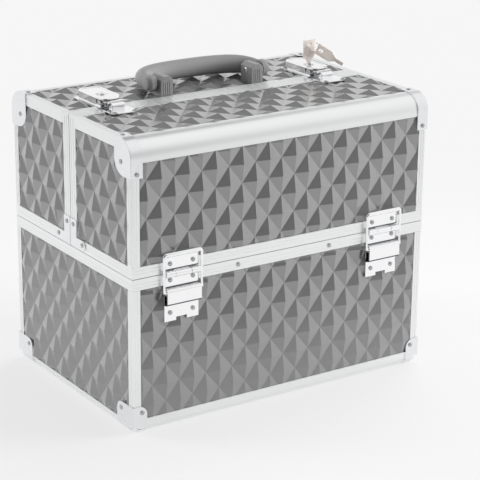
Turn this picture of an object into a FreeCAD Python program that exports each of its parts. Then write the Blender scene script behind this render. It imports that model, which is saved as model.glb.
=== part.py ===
import FreeCAD, Part
import math
import os
import re

from FreeCAD import Placement, Rotation, Vector

os.makedirs("parts", exist_ok=True)
doc = FreeCAD.newDocument("makeup_case")

# A lidded case of ABS-faced boards held in aluminium profiles. The lid is split into a front and a
# rear half, which hinge outwards and carry two trays each on parallel arms.
# Frame: X is the width, -Y is the front, Z is up. The origin lies on the floor, under the middle.

SIZES = {
    # the whole case
    "case_width": 320,           # over the corner caps
    "case_depth": 220,           # over the corner caps
    "case_height": 270,          # from the floor to the top of the corner caps
    "base_height": 146,          # floor to the line where the lid meets the base
    "cap_thickness": 1,
    "profile_wall": 1.2,
    "panel_thickness": 4,
    "lining_thickness": 1,
    "seat_gap": 0.3,             # under each lid half
    "lids_gap": 0.8,             # between the two lid halves
    # aluminium profiles
    "rim_height": 10.5,
    "rim_inner_height": 8,
    "bottom_profile_height": 13.2,
    "bottom_side_height": 9,     # the same profile, where it runs under the side boards
    "bottom_profile_radius": 8,
    "post_width": 8,
    "post_groove": 0.7,
    "edge_profile_side": 10.5,
    "edge_profile_top": 7,
    "rail_radius": 16,
    "rail_lip": 4,
    "strip_width": 11,
    "strip_inner_width": 7,
    # corner caps, brackets and rivets
    "foot_cap_width": 14.5,
    "foot_cap_side_width": 28,
    "foot_cap_height": 27,
    "foot_cap_corner": 8,
    "top_cap_band": 12,
    "top_cap_reach": 28,
    "top_cap_drop": 33,
    "top_cap_corner": 15,
    "bracket_thickness": 1,
    "bracket_leg": 11,
    "bracket_reach": 27,
    "bracket_height": 26,
    "bracket_corner": 5,
    "rivet_radius": 2.2,
    "rivet_tip_radius": 1.3,
    "rivet_height": 1,
    "rim_rivet_spacing": 100,
    # hinges with their bails
    "hinge_inset": 50,           # from the case's end to the hinge's middle
    "hinge_width": 35,
    "hinge_middle_knuckle": 16,
    "hinge_end_play": 0.2,
    "leaf_thickness": 1.2,
    "knuckle_radius": 3,
    "hinge_pin_radius": 1.5,
    "running_clearance": 0.05,
    "face_clearance": 0.2,       # between a turning knuckle and the profile behind it
    "leaf_height": 15,
    "plate_height": 44.3,
    "plate_notch_width": 11,
    "plate_notch_height": 3,
    "hood_stand": 6.8,
    "hood_bottom": 28,
    "hood_roll_drop": 16,
    "hood_roll_radius": 3,
    "bail_length": 34,
    "bail_bar_height": 4,
    "bail_thickness": 2,
    "bail_arm_width": 2.5,
    "bail_side_play": 0.5,
    "bail_stub_radius": 1.6,
    "bail_stub_length": 6,
    "hinge_rivet_spacing": 23.4,
    "leaf_rivet_height": 8.9,
    "plate_rivet_upper": 6,
    "plate_rivet_lower": 36.3,
    # latches on the top
    "latch_inset": 45,           # from the case's end to the latch's middle
    "latch_base_width": 27,
    "latch_base_rear": 48,
    "latch_base_front": 2,
    "latch_plate_thickness": 1.2,
    "latch_wall_height": 5.9,
    "latch_wall_thickness": 1.2,
    "latch_wall_width": 21,
    "lever_width": 24,
    "lever_rear": 46,
    "lever_thickness": 2,
    "lever_corner": 5,
    "lever_wall_gap": 0.3,
    "lever_slot_width": 15,
    "lever_slot_end": 13.2,
    "lever_pivot_y": 3.2,
    "lever_pivot_height": 4.6,
    "lever_nose": 4.2,           # from the pivot to the lever's front edge
    "lever_lug_thickness": 1.5,
    "lever_lug_radius": 2.4,
    "lever_pin_radius": 1.2,
    "latch_axial_play": 0.3,
    "hook_pivot_offset": 5.6,
    "hook_pivot_drop": 0.8,
    "hook_curl_radius": 2,
    "hook_thickness": 1,
    "hook_width": 14,
    "hook_front": 5,
    "hook_lip": 1.5,
    "keeper_front": 27,
    "keeper_rear": 6.2,
    "keeper_stop_depth": 5.8,
    "keeper_stop_height": 6,
    "keeper_stop_width": 20,
    "screw_radius": 2.6,
    "screw_height": 0.9,
    "lock_y": 19,
    "lock_radius": 5,
    "lock_rise": 0.6,
    "lock_depth": 8,
    "lock_floor": 0.8,
    # keys
    "key_thickness": 1.6,
    "key_bow_width": 13,
    "key_bow_height": 15,
    "key_shoulder_height": 6,
    "key_blade_width": 4,
    "key_blade_length": 8.5,
    "key_slot_gap": 0.1,
    "key_hole_radius": 2.4,
    "key_hole_drop": 4.5,
    "key_ring_radius": 6.5,
    "key_ring_chord": 9.8,
    "key_ring_wire": 0.5,
    "spare_key_lift": 56,        # degrees forward of straight down, resting on the latch
    "spare_key_turn": 56,        # degrees round the ring
    # handle
    "handle_spacing": 96,
    "handle_mount_width": 17,
    "handle_mount_depth": 22,
    "handle_mount_height": 18,
    "handle_mount_chamfer": 4,
    "handle_pivot_height": 11,
    "handle_pin_radius": 3,
    "handle_end_width": 7,
    "handle_end_play": 0.4,
    "grip_reach": 38,
    "grip_radius": 7.2,
    "grip_bend": 24,
    "grip_swell_length": 76,
    "grip_swell_radius": 8.9,
    "handle_pivot_radius": 8,
    # trays and their arms
    "arm_length": 84,
    "arm_angle": 38,             # degrees above level, with the lid closed
    "arm_width": 9,
    "arm_thickness": 1.5,
    "arm_pitch": 15.6,
    "arm_tray_inset": 3.8,       # from a tray's end to the pin of the inner arm
    "arm_pivot_drop": 5,
    "arm_pin_radius": 2,
    "arm_pin_head_radius": 3.2,
    "arm_pin_head": 0.6,
    "arm_play": 0.2,
    "arm_wall_gap": 1.9,
    "tray_side_gap": 5.1,
    "tray_split_gap": 6,
    "tray_wall": 1.6,
    "lower_tray_front_gap": 13.2,
    "lower_tray_bottom": 5,
    "lower_tray_height": 33,
    "upper_tray_front_gap": 1.1,
    "upper_tray_bottom": 42,
    "upper_tray_height": 36,
    "divider_thickness": 1.4,
    "divider_drop": 4,
}

sheet = doc.addObject("Spreadsheet::Sheet", "Sizes")
for row, (alias, value) in enumerate(SIZES.items(), start=1):
    sheet.set(f"A{row}", alias)
    sheet.set(f"B{row}", str(value))
    sheet.setAlias(f"B{row}", alias)
doc.recompute()

ALIAS = re.compile(r"(?<![\w.])(" + "|".join(sorted(SIZES, key=len, reverse=True)) + r")(?!\w)")
nodes = []


# ---- building blocks: every size is an expression of the sheet's cells ----


def refs(text):
    return ALIAS.sub(r"Sizes.\1", str(text))


def num(text):
    return float(sheet.evalExpression(refs(text)))


def vec(x, y, z):
    return Vector(num(x), num(y), num(z))


def neg(text):
    return f"(-({text}))"


def plus(*terms):
    return "(" + " + ".join(f"({term})" for term in terms) + ")"


def both(text):
    return neg(text), text


def place(obj, x, y, z):
    for axis, text in zip("xyz", (x, y, z)):
        obj.setExpression(f"Placement.Base.{axis}", refs(text))


def box(x, y, z):
    """A block between two expressions on each axis."""
    obj = doc.addObject("Part::Box", "block")
    for prop, (low, high) in zip(("Length", "Width", "Height"), (x, y, z)):
        obj.setExpression(prop, refs(f"({high}) - ({low})"))
    place(obj, x[0], y[0], z[0])
    return obj


TURNS = {
    "x": Rotation(Vector(0, 1, 0), 90),
    "y": Rotation(Vector(1, 0, 0), -90),
    "z": Rotation(),
    "-y": Rotation(Vector(1, 0, 0), 90),
    "-x": Rotation(Vector(0, 1, 0), -90),
}


def cylinder(axis, start, radius, length):
    """A rod that starts at a point and runs along an axis."""
    obj = doc.addObject("Part::Cylinder", "rod")
    obj.Placement = Placement(Vector(), TURNS[axis])
    obj.setExpression("Radius", refs(radius))
    obj.setExpression("Height", refs(length))
    place(obj, *start)
    return obj


def rivet(axis, start):
    """A low domed rivet head that stands on a surface."""
    obj = doc.addObject("Part::Cone", "rivet")
    obj.Placement = Placement(Vector(), TURNS[axis])
    obj.setExpression("Radius1", refs("rivet_radius"))
    obj.setExpression("Radius2", refs("rivet_tip_radius"))
    obj.setExpression("Height", refs("rivet_height"))
    place(obj, *start)
    return obj


def many(kind, prop, parts):
    obj = doc.addObject(kind, kind.split("::")[1].lower())
    setattr(obj, prop, list(parts))
    return obj


def fuse(*parts):
    return many("Part::MultiFuse", "Shapes", parts)


def common(*parts):
    return many("Part::MultiCommon", "Shapes", parts)


def group(*parts):
    return many("Part::Compound", "Links", parts)


def cut(base, *tools):
    obj = doc.addObject("Part::Cut", "cut")
    obj.Base = base
    obj.Tool = tools[0] if len(tools) == 1 else fuse(*tools)
    return obj


def mirror(part, normal):
    obj = doc.addObject("Part::Mirroring", "mirror")
    obj.Source = part
    obj.Normal = normal
    obj.Base = (0, 0, 0)
    return obj


LEFT_RIGHT = (1, 0, 0)
FRONT_REAR = (0, 1, 0)


def pair(part, normal=LEFT_RIGHT):
    return group(part, mirror(part, normal))


def four(part):
    return pair(pair(part), FRONT_REAR)


def node(name, part):
    part.Label = name
    nodes.append(part)
    return part


def front_and_rear(name, part):
    """The same piece on both lid halves, named for each."""
    node(f"front_{name}", part)
    node(f"rear_{name}", mirror(part, FRONT_REAR))


# ---- planes that the pieces share ----

side = "(case_width / 2 - cap_thickness)"            # outer face of the profiles, at the right
front = "(-(case_depth / 2 - cap_thickness))"        # the same, at the front
bottom = "cap_thickness"                             # underside of the bottom profiles
top = "(case_height - cap_thickness)"                # upper side of the profiles
middle = "base_height"                               # top of the base's rim
lid_bottom = "(base_height + seat_gap)"
split = "(-(lids_gap / 2))"                          # end of the front lid half

panel_side = plus(side, "-profile_wall")
panel_front = plus(front, "profile_wall")
wall_side = plus(panel_side, "-panel_thickness")     # inner face of the boards
wall_front = plus(panel_front, "panel_thickness")
lined_side = plus(wall_side, "-lining_thickness")
lined_front = plus(wall_front, "lining_thickness")
clear_side = plus(lined_side, "-profile_wall")       # inner face of the rims
clear_front = plus(lined_front, "profile_wall")
rim_low = plus(middle, "-rim_height")
rim_high = plus(lid_bottom, "rim_height")


# ---- base ----


def base_panels():
    floor_z = plus(bottom, "bottom_profile_radius - panel_thickness"), plus(bottom, "bottom_profile_radius")
    wall_z = plus(bottom, "bottom_profile_radius"), plus(middle, "-profile_wall")
    node("base_floor_panel", box(both(wall_side), (wall_front, neg(wall_front)), floor_z))
    board = box(both(panel_side), (panel_front, wall_front), wall_z)
    node("base_long_panels", pair(board, FRONT_REAR))
    node("base_side_panels", pair(box((wall_side, panel_side), (wall_front, neg(wall_front)), wall_z)))
    shell = box(both(wall_side), (wall_front, neg(wall_front)), wall_z)
    hollow = box(
        both(lined_side),
        (lined_front, neg(lined_front)),
        (plus(wall_z[0], "lining_thickness"), plus(middle, 1)),
    )
    node("base_lining", cut(shell, hollow))


def base_profiles():
    """The rim round the mouth, the rounded profile under the walls and the four posts."""
    rim = box(both(side), (front, neg(front)), (rim_low, middle))
    mouth = box(both(clear_side), (clear_front, neg(clear_front)), (plus(rim_low, -1), plus(middle, 1)))
    shelf = plus(middle, "-rim_inner_height")
    under_inner = box(both(lined_side), (lined_front, neg(lined_front)), (plus(rim_low, -1), shelf))
    boards = box(
        both(panel_side), (panel_front, neg(panel_front)), (plus(rim_low, -2), plus(middle, "-profile_wall"))
    )
    core = box(both(lined_side), (lined_front, neg(lined_front)), (plus(rim_low, -3), plus(middle, 2)))
    node("base_rim", cut(rim, mouth, under_inner, cut(boards, core)))

    radius = "bottom_profile_radius"
    low, high = bottom, plus(bottom, "bottom_profile_height")
    outer = rounded_slab(side, front, low, high, radius)
    inner_radius = plus(radius, "-profile_wall")
    inner = rounded_slab(
        panel_side, panel_front, plus(bottom, "profile_wall"), plus(high, 1), inner_radius
    )
    window = box(
        both(plus(side, "-bottom_profile_height")),
        both(plus(front, "bottom_profile_height"))[::-1],
        (plus(low, -1), plus(high, 1)),
    )
    side_height = box(
        both(plus(side, 1)),
        both(neg(plus(front, "post_width"))),
        (plus(low, "bottom_side_height"), plus(high, 1)),
    )
    node("base_bottom_profile", cut(outer, inner, window, side_height))

    posts = corner_post(plus(bottom, "bottom_profile_height"), rim_low)
    node("base_corner_posts", four(posts))


def rounded_slab(half_x, low_y, low, high, radius):
    """A slab whose four lower edges are rounded, made of blocks and rods."""
    inset_x = plus(half_x, neg(radius))
    inset_y = plus(low_y, radius)
    mid_z = plus(low, radius)
    upper = box(both(half_x), (low_y, neg(low_y)), (mid_z, high))
    core = box(both(inset_x), (inset_y, neg(inset_y)), (low, high))
    along_x = cylinder("x", (neg(inset_x), inset_y, mid_z), radius, f"2 * {inset_x}")
    along_y = cylinder("y", (inset_x, inset_y, mid_z), radius, f"-2 * {inset_y}")
    ball = doc.addObject("Part::Sphere", "ball")
    ball.setExpression("Radius", refs(radius))
    place(ball, inset_x, inset_y, mid_z)
    balls = pair(pair(ball), FRONT_REAR)
    solid = fuse(upper, core, pair(along_x, FRONT_REAR), pair(along_y), balls)
    return common(solid, box(both(half_x), (low_y, neg(low_y)), (low, high)))


def corner_post(low, high):
    """An angle with a small groove along the case's edge, at the front right."""
    post = box(
        (plus(side, "-post_width"), side), (front, plus(front, "post_width")), (low, high)
    )
    corner = box(
        (plus(side, "-post_width", -1), panel_side),
        (panel_front, plus(front, "post_width", 1)),
        (plus(low, -1), plus(high, 1)),
    )
    groove = cylinder("z", (side, front, plus(low, -1)), "post_groove", f"{high} - {low} + 2")
    return cut(post, corner, groove)


def foot_caps():
    """A pressed cap on each lower corner, with a rounded ear on the front, the side and below."""
    outer_x = plus(side, "cap_thickness")
    outer_y = plus(front, "-cap_thickness")
    outer = rounded_slab(outer_x, outer_y, 0, "foot_cap_height", plus("bottom_profile_radius", "cap_thickness"))
    inner = rounded_slab(side, front, bottom, plus("foot_cap_height", 1), "bottom_profile_radius")
    ear, side_ear_width = "foot_cap_width", "foot_cap_side_width"
    round_in, side_round_in = plus(ear, "-foot_cap_corner"), plus(side_ear_width, "-foot_cap_corner")
    ear_top = plus("foot_cap_height", "-foot_cap_corner")
    depth = plus("bottom_profile_radius", "cap_thickness")
    front_ear = fuse(
        box((plus(outer_x, neg(round_in)), outer_x), (outer_y, plus(outer_y, depth)), (0, "foot_cap_height")),
        box((plus(outer_x, neg(ear)), outer_x), (outer_y, plus(outer_y, depth)), (0, ear_top)),
        cylinder(
            "y", (plus(outer_x, neg(round_in)), outer_y, ear_top), "foot_cap_corner", depth
        ),
    )
    side_ear = fuse(
        box((plus(outer_x, neg(depth)), outer_x), (outer_y, plus(outer_y, side_round_in)), (0, "foot_cap_height")),
        box((plus(outer_x, neg(depth)), outer_x), (outer_y, plus(outer_y, side_ear_width)), (0, ear_top)),
        cylinder(
            "-x", (outer_x, plus(outer_y, side_round_in), ear_top), "foot_cap_corner", depth
        ),
    )
    under_ear = fuse(
        box((plus(outer_x, neg(round_in)), outer_x), (outer_y, plus(outer_y, side_ear_width)), (0, depth)),
        box((plus(outer_x, neg(ear)), outer_x), (outer_y, plus(outer_y, side_round_in)), (0, depth)),
        cylinder("z", (plus(outer_x, neg(round_in)), plus(outer_y, side_round_in), 0), "foot_cap_corner", depth),
    )
    shell = cut(outer, inner)
    node("base_corner_caps", four(common(shell, fuse(front_ear, side_ear, under_ear))))


# ---- lid halves, drawn at the front and mirrored for the rear ----

bend_y = plus(front, "rail_radius")                  # centre of the rounded top edge
bend_z = plus(top, "-rail_radius")


def lid_core(inset, z_low, y_high):
    """The filled outline of a front lid half, this far inside the profiles' outer faces."""
    half_x = plus(side, neg(inset))
    y_low = plus(front, inset)
    z_high = plus(top, neg(inset))
    lower = box(both(half_x), (y_low, y_high), (z_low, bend_z))
    upper = box(both(half_x), (bend_y, y_high), (plus(bend_z, -1), z_high))
    bend = cylinder(
        "x", (neg(half_x), bend_y, bend_z), plus("rail_radius", neg(inset)), f"2 * {half_x}"
    )
    return fuse(lower, upper, bend)


def lid_panels():
    low = plus(lid_bottom, "profile_wall")
    end = plus(split, "-profile_wall")
    board_top = plus(top, "-profile_wall")
    wall = box(both(panel_side), (panel_front, wall_front), (low, bend_z))
    cover = box(both(panel_side), (bend_y, end), (plus(board_top, "-panel_thickness"), board_top))
    front_and_rear("lid_long_panels", group(wall, cover))
    outline = lid_core("profile_wall + panel_thickness", low, end)
    slab = box((wall_side, panel_side), (wall_front, end), (low, plus(board_top, "-panel_thickness")))
    rounding = lid_core("profile_wall", low, end)
    front_and_rear("lid_side_panels", pair(common(slab, rounding)))
    hollow = lid_core("profile_wall + panel_thickness + lining_thickness", plus(low, -1), plus(end, 1))
    front_and_rear("lid_lining", cut(outline, hollow))


def lid_profiles():
    """Rim, rounded top rail, edge profiles, posts and the frame along the split."""
    rim = box(both(side), (front, split), (lid_bottom, rim_high))
    past = plus(split, 2)
    mouth = box(both(clear_side), (clear_front, past), (plus(lid_bottom, -1), plus(rim_high, 1)))
    above_inner = box(
        both(lined_side), (lined_front, past), (plus(lid_bottom, "rim_inner_height"), plus(rim_high, 1))
    )
    boards = box(
        both(panel_side), (panel_front, past), (plus(lid_bottom, "profile_wall"), plus(rim_high, 2))
    )
    core = box(both(lined_side), (lined_front, plus(past, 1)), (plus(lid_bottom, -1), plus(rim_high, 3)))
    front_and_rear("lid_rim", cut(rim, mouth, above_inner, cut(boards, core)))

    tube = cut(
        cylinder("x", (neg(side), bend_y, bend_z), "rail_radius", f"2 * {side}"),
        cylinder(
            "x", (plus(neg(side), -1), bend_y, bend_z), "rail_radius - profile_wall", f"2 * {side} + 2"
        ),
    )
    quarter = common(tube, box(both(side), (front, bend_y), (bend_z, top)))
    lip_down = box(both(side), (front, panel_front), (plus(bend_z, "-rail_lip"), bend_z))
    lip_back = box(both(side), (bend_y, plus(bend_y, "rail_lip")), (plus(top, "-profile_wall"), top))
    front_and_rear("lid_top_rail", fuse(quarter, lip_down, lip_back))

    frame_front = plus(split, "-strip_width")
    rail_back = plus(bend_y, "rail_lip")
    edge = cut(
        box((plus(side, "-edge_profile_top"), side), (bend_y, frame_front), (plus(top, "-edge_profile_side"), top)),
        box(
            (plus(side, "-edge_profile_top", -1), panel_side),
            (plus(bend_y, -1), plus(frame_front, 1)),
            (plus(top, "-edge_profile_side", -1), plus(top, "-profile_wall")),
        ),
        box(
            (plus(side, "-edge_profile_top", -1), plus(side, 1)),
            (plus(bend_y, -1), rail_back),
            (plus(top, "-profile_wall"), plus(top, 1)),
        ),
    )
    post = corner_post(rim_high, plus(bend_z, "-rail_lip"))
    front_and_rear("lid_corner_profiles", pair(group(edge, post)))

    outer = box(both(side), (frame_front, split), (rim_high, top))
    inner_flange = plus(split, "-strip_inner_width")
    boards = box(
        both(panel_side),
        (plus(frame_front, -1), plus(split, "-profile_wall")),
        (plus(rim_high, -1), plus(top, "-profile_wall")),
    )
    lined_top = plus(top, "-profile_wall - panel_thickness - lining_thickness")
    core = box(both(lined_side), (plus(frame_front, -2), past), (plus(rim_high, -2), lined_top))
    opening = box(
        both(clear_side), (plus(frame_front, -1), past), (plus(rim_high, -1), plus(lined_top, "-profile_wall"))
    )
    behind = box(both(lined_side), (plus(frame_front, -1), inner_flange), (plus(rim_high, -1), lined_top))
    front_and_rear("lid_split_frame", cut(outer, cut(boards, core), opening, behind))


def lid_caps():
    """A pressed cap on each upper corner: a band round the rail's end and a fan on the side."""
    outer = lid_core(neg("cap_thickness"), plus(top, "-top_cap_drop"), split)
    inner = lid_core(0, plus(top, "-top_cap_drop", -1), plus(split, 1))
    outer_side = plus(side, "cap_thickness")
    outer_front = plus(front, "-cap_thickness")
    reach = plus(outer_front, "top_cap_reach")
    low = plus(top, "-top_cap_drop")
    high = plus(top, "cap_thickness")
    band = box(
        (plus(outer_side, "-top_cap_band"), outer_side), (outer_front, reach), (low, high)
    )
    round_y = plus(reach, "-top_cap_corner")
    round_z = plus(low, "top_cap_corner")
    fan = fuse(
        box((side, outer_side), (outer_front, round_y), (low, high)),
        box((side, outer_side), (outer_front, reach), (round_z, high)),
        cylinder("x", (side, round_y, round_z), "top_cap_corner", "cap_thickness"),
    )
    skin = cut(outer, inner)
    turned = common(skin, band)
    strip = cut(turned, box((side, outer_side), (outer_front, reach), (plus(low, -1), plus(high, 1))))
    front_and_rear("lid_corner_caps", pair(fuse(strip, common(fan, outer))))


def lid_brackets():
    """A flat angle plate on each side, where the split frame meets the rim."""
    face = side, plus(side, "bracket_thickness")
    low = plus(lid_bottom, "profile_wall")
    leg_front = plus(split, "-bracket_leg")
    reach = plus(split, "-bracket_reach")
    leg = box(face, (leg_front, split), (low, plus(low, "bracket_height")))
    foot = box(face, (plus(reach, "bracket_corner"), split), (low, plus(low, "bracket_leg - profile_wall")))
    toe = cylinder(
        "x",
        (side, plus(reach, "bracket_corner"), plus(low, "(bracket_leg - profile_wall) / 2")),
        "(bracket_leg - profile_wall) / 2",
        "bracket_thickness",
    )
    front_and_rear("lid_brackets", pair(fuse(leg, foot, toe)))


# ---- hinges: leaves, plates with hoods, pins and bails ----

hinge_x = "(case_width / 2 - hinge_inset)"
hinge_low_x = plus(hinge_x, "-hinge_width / 2")
hinge_high_x = plus(hinge_x, "hinge_width / 2")
hinge_y = plus(front, "-knuckle_radius - face_clearance")
leaf_front = plus(front, "-leaf_thickness")
roll_y = plus(front, "-hood_stand + hood_roll_radius")
roll_z = plus(middle, "-hood_roll_drop")


def knuckle(low_x, high_x):
    return cylinder("x", (low_x, hinge_y, middle), "knuckle_radius", f"{high_x} - {low_x}")


def hinge_bore():
    return cylinder(
        "x",
        (plus(hinge_low_x, -1), hinge_y, middle),
        "hinge_pin_radius + running_clearance",
        "hinge_width + 2",
    )


def hinges():
    middle_half = "hinge_middle_knuckle / 2"
    play = "hinge_end_play"
    upper_x = plus(hinge_x, neg(middle_half)), plus(hinge_x, middle_half)
    plate_gap = "(knuckle_radius + 2 * face_clearance)"
    leaf = box(
        (hinge_low_x, hinge_high_x), (leaf_front, front), (plus(middle, plate_gap), plus(middle, "leaf_height"))
    )
    web = box(upper_x, (leaf_front, plus(front, "-face_clearance")), (middle, plus(middle, plate_gap)))
    front_and_rear("hinge_leaves", pair(cut(fuse(leaf, web, knuckle(*upper_x)), hinge_bore())))

    lower_spans = (
        (hinge_low_x, plus(upper_x[0], neg(play))),
        (plus(upper_x[1], play), hinge_high_x),
    )
    plate_low = plus(middle, "-plate_height")
    plate = box((hinge_low_x, hinge_high_x), (leaf_front, front), (plate_low, plus(middle, neg(plate_gap))))
    hood_front = plus(front, "-hood_stand")
    hood_low = plus(middle, "-hood_bottom")
    roll = cylinder("x", (hinge_low_x, roll_y, roll_z), "hood_roll_radius", "hinge_width")
    hood = box(
        (hinge_low_x, hinge_high_x), (hood_front, plus(hood_front, "leaf_thickness")), (hood_low, roll_z)
    )
    hood_foot = box(
        (hinge_low_x, hinge_high_x), (hood_front, leaf_front), (plus(hood_low, "-leaf_thickness"), hood_low)
    )
    webs = [
        box(span, (leaf_front, plus(front, "-face_clearance")), (plus(middle, neg(plate_gap)), middle))
        for span in lower_spans
    ]
    knuckles = [knuckle(*span) for span in lower_spans]
    roll_bore = cylinder(
        "x",
        (plus(hinge_low_x, -1), roll_y, roll_z),
        "bail_stub_radius + running_clearance",
        "hinge_width + 2",
    )
    notch = box(
        (plus(hinge_x, "-plate_notch_width / 2"), plus(hinge_x, "plate_notch_width / 2")),
        (plus(leaf_front, -1), plus(front, 1)),
        (plus(plate_low, -1), plus(plate_low, "plate_notch_height")),
    )
    solid = fuse(plate, roll, hood, hood_foot, *webs, *knuckles)
    node("hinge_plates", four(cut(solid, hinge_bore(), roll_bore, notch)))
    pin = cylinder("x", (hinge_low_x, hinge_y, middle), "hinge_pin_radius", "hinge_width")
    node("hinge_pins", four(pin))

    arm_inner = plus(hinge_high_x, "bail_side_play")
    arm_outer = plus(arm_inner, "bail_arm_width")
    reach = f"({arm_outer} - {hinge_x})"
    bail_y = plus(roll_y, "-bail_thickness / 2"), plus(roll_y, "bail_thickness / 2")
    bar_mid = plus(roll_z, "bail_length")
    bar = box(
        (plus(hinge_x, neg(reach)), plus(hinge_x, reach)),
        bail_y,
        (plus(bar_mid, "-bail_bar_height / 2"), plus(bar_mid, "bail_bar_height / 2")),
    )
    parts = [bar]
    for sign in ("-1", "1"):
        near = plus(hinge_x, f"{sign} * ({arm_inner} - {hinge_x})")
        far = plus(hinge_x, f"{sign} * {reach}")
        low_x, high_x = (far, near) if sign == "-1" else (near, far)
        parts.append(box((low_x, high_x), bail_y, (roll_z, bar_mid)))
        boss = "(bail_stub_radius + 0.4)"
        parts.append(cylinder("x", (low_x, roll_y, roll_z), boss, "bail_arm_width"))
        stub_end = near if sign == "-1" else plus(near, "-bail_stub_length - bail_side_play")
        parts.append(
            cylinder("x", (stub_end, roll_y, roll_z), "bail_stub_radius", "bail_stub_length + bail_side_play")
        )
    bail = fuse(*parts)
    front_and_rear("hinge_bails", pair(bail))


# ---- where the latches sit ----

latch_x = "(case_width / 2 - latch_inset)"
latch_top = plus(top, "latch_plate_thickness")
lever_low = plus(latch_top, "latch_wall_height", "lever_wall_gap")
lever_high = plus(lever_low, "lever_thickness")
lever_pivot_z = plus(top, "lever_pivot_height")
hook_pivot_y = plus("lever_pivot_y", "hook_pivot_offset")
hook_pivot_z = plus(lever_pivot_z, "-hook_pivot_drop")
wall_outer = plus(latch_x, "latch_wall_width / 2")
wall_inner = plus(wall_outer, "-latch_wall_thickness")

# ---- rivets and screws ----


def screw(x, y):
    return cylinder("z", (x, y, latch_top), "screw_radius", "screw_height")


def fasteners():
    face = leaf_front
    hinge_rows = {"leaf": ["leaf_rivet_height"], "plate": ["-plate_rivet_upper", "-plate_rivet_lower"]}
    heads = {"leaf": [], "plate": []}
    for part, heights in hinge_rows.items():
        for height in heights:
            for sign in (-1, 1):
                x = plus(hinge_x, f"{sign} * hinge_rivet_spacing / 2")
                heads[part].append(rivet("-y", (x, face, plus(middle, height))))
    cap_side = plus(side, "cap_thickness")
    cap_front = plus(front, "-cap_thickness")
    foot_z = "(foot_cap_height - 6)"
    base = heads["plate"] + [
        rivet("-y", ("rim_rivet_spacing / 2", front, plus(middle, "-rim_height / 2"))),
        rivet("-y", (plus(cap_side, "-foot_cap_width + 5"), cap_front, foot_z)),
        rivet("x", (cap_side, plus(cap_front, "foot_cap_side_width - 7"), foot_z)),
    ]
    node("base_rivets", four(group(*base)))
    bracket_face = plus(side, "bracket_thickness")
    bracket_low = plus(lid_bottom, "profile_wall")
    lid = pair(
        group(
            *heads["leaf"],
            rivet("x", (cap_side, plus(cap_front, "top_cap_reach * 0.6"), plus(top, "-top_cap_drop * 0.62"))),
            rivet("-y", (plus(cap_side, "-top_cap_band / 2"), cap_front, plus(top, "-top_cap_drop + 4"))),
            rivet(
                "z",
                (
                    plus(cap_side, "-top_cap_band / 2"),
                    plus(cap_front, "top_cap_reach - 5"),
                    plus(top, "cap_thickness"),
                ),
            ),
            rivet("x", (bracket_face, plus(split, "-bracket_leg / 2"), plus(bracket_low, "bracket_height - 5"))),
            rivet("x", (bracket_face, plus(split, "-bracket_reach + 5.5"), plus(bracket_low, "bracket_leg / 2"))),
        )
    )
    screw_in = "(latch_base_width / 2 - screw_radius - 0.8)"
    screw_y = "-keeper_front + screw_radius + 1"
    keeper_screws = [screw(plus(latch_x, x), screw_y) for x in both(screw_in)]
    node("front_lid_fasteners", group(lid, pair(group(*keeper_screws))))
    base_screw = screw(plus(latch_x, neg(screw_in)), "latch_base_rear - screw_radius - 1")
    node("rear_lid_fasteners", group(mirror(lid, FRONT_REAR), pair(base_screw)))


# ---- latches ----


def latches():
    """Two draw latches: base, lever and hook on the rear half, the keeper on the front half."""
    half = "latch_base_width / 2"
    plate = box(
        (plus(latch_x, neg(half)), plus(latch_x, half)),
        ("latch_base_front", "latch_base_rear"),
        (top, latch_top),
    )
    wall_z = latch_top, plus(lever_low, "-lever_wall_gap")
    wall_y = "latch_base_front", "latch_base_rear - 8"
    walls = [
        box(span, wall_y, wall_z)
        for span in ((twin(wall_outer), twin(wall_inner)), (wall_inner, wall_outer))
    ]
    bore = cylinder(
        "x",
        (plus(latch_x, neg(half)), "lever_pivot_y", lever_pivot_z),
        "lever_pin_radius + running_clearance",
        "latch_base_width",
    )
    node("latch_bases", pair(cut(fuse(plate, *walls), bore)))
    for name, part in (("latch_lever", lever()), ("latch_hook", hook())):
        node(f"{name}_right", part)
        node(f"{name}_left", mirror(part, LEFT_RIGHT))

    keeper = box(
        (plus(latch_x, neg(half)), plus(latch_x, half)), ("-keeper_front", "-keeper_rear"), (top, latch_top)
    )
    stop_x = plus(latch_x, "-keeper_stop_width / 2"), plus(latch_x, "keeper_stop_width / 2")
    stop_radius = "(keeper_stop_depth / 2)"
    stop_y = f"-(keeper_rear + {stop_radius})"
    stop_mid = plus(latch_top, "keeper_stop_height", neg(stop_radius))
    stop = box(stop_x, (plus(stop_y, neg(stop_radius)), plus(stop_y, stop_radius)), (latch_top, stop_mid))
    stop_top = cylinder("x", (stop_x[0], stop_y, stop_mid), stop_radius, "keeper_stop_width")
    node("latch_keepers", pair(fuse(keeper, stop, stop_top)))


def twin(x):
    """The same distance from the latch's middle, on its other side."""
    return f"(2 * {latch_x} - {x})"


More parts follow.
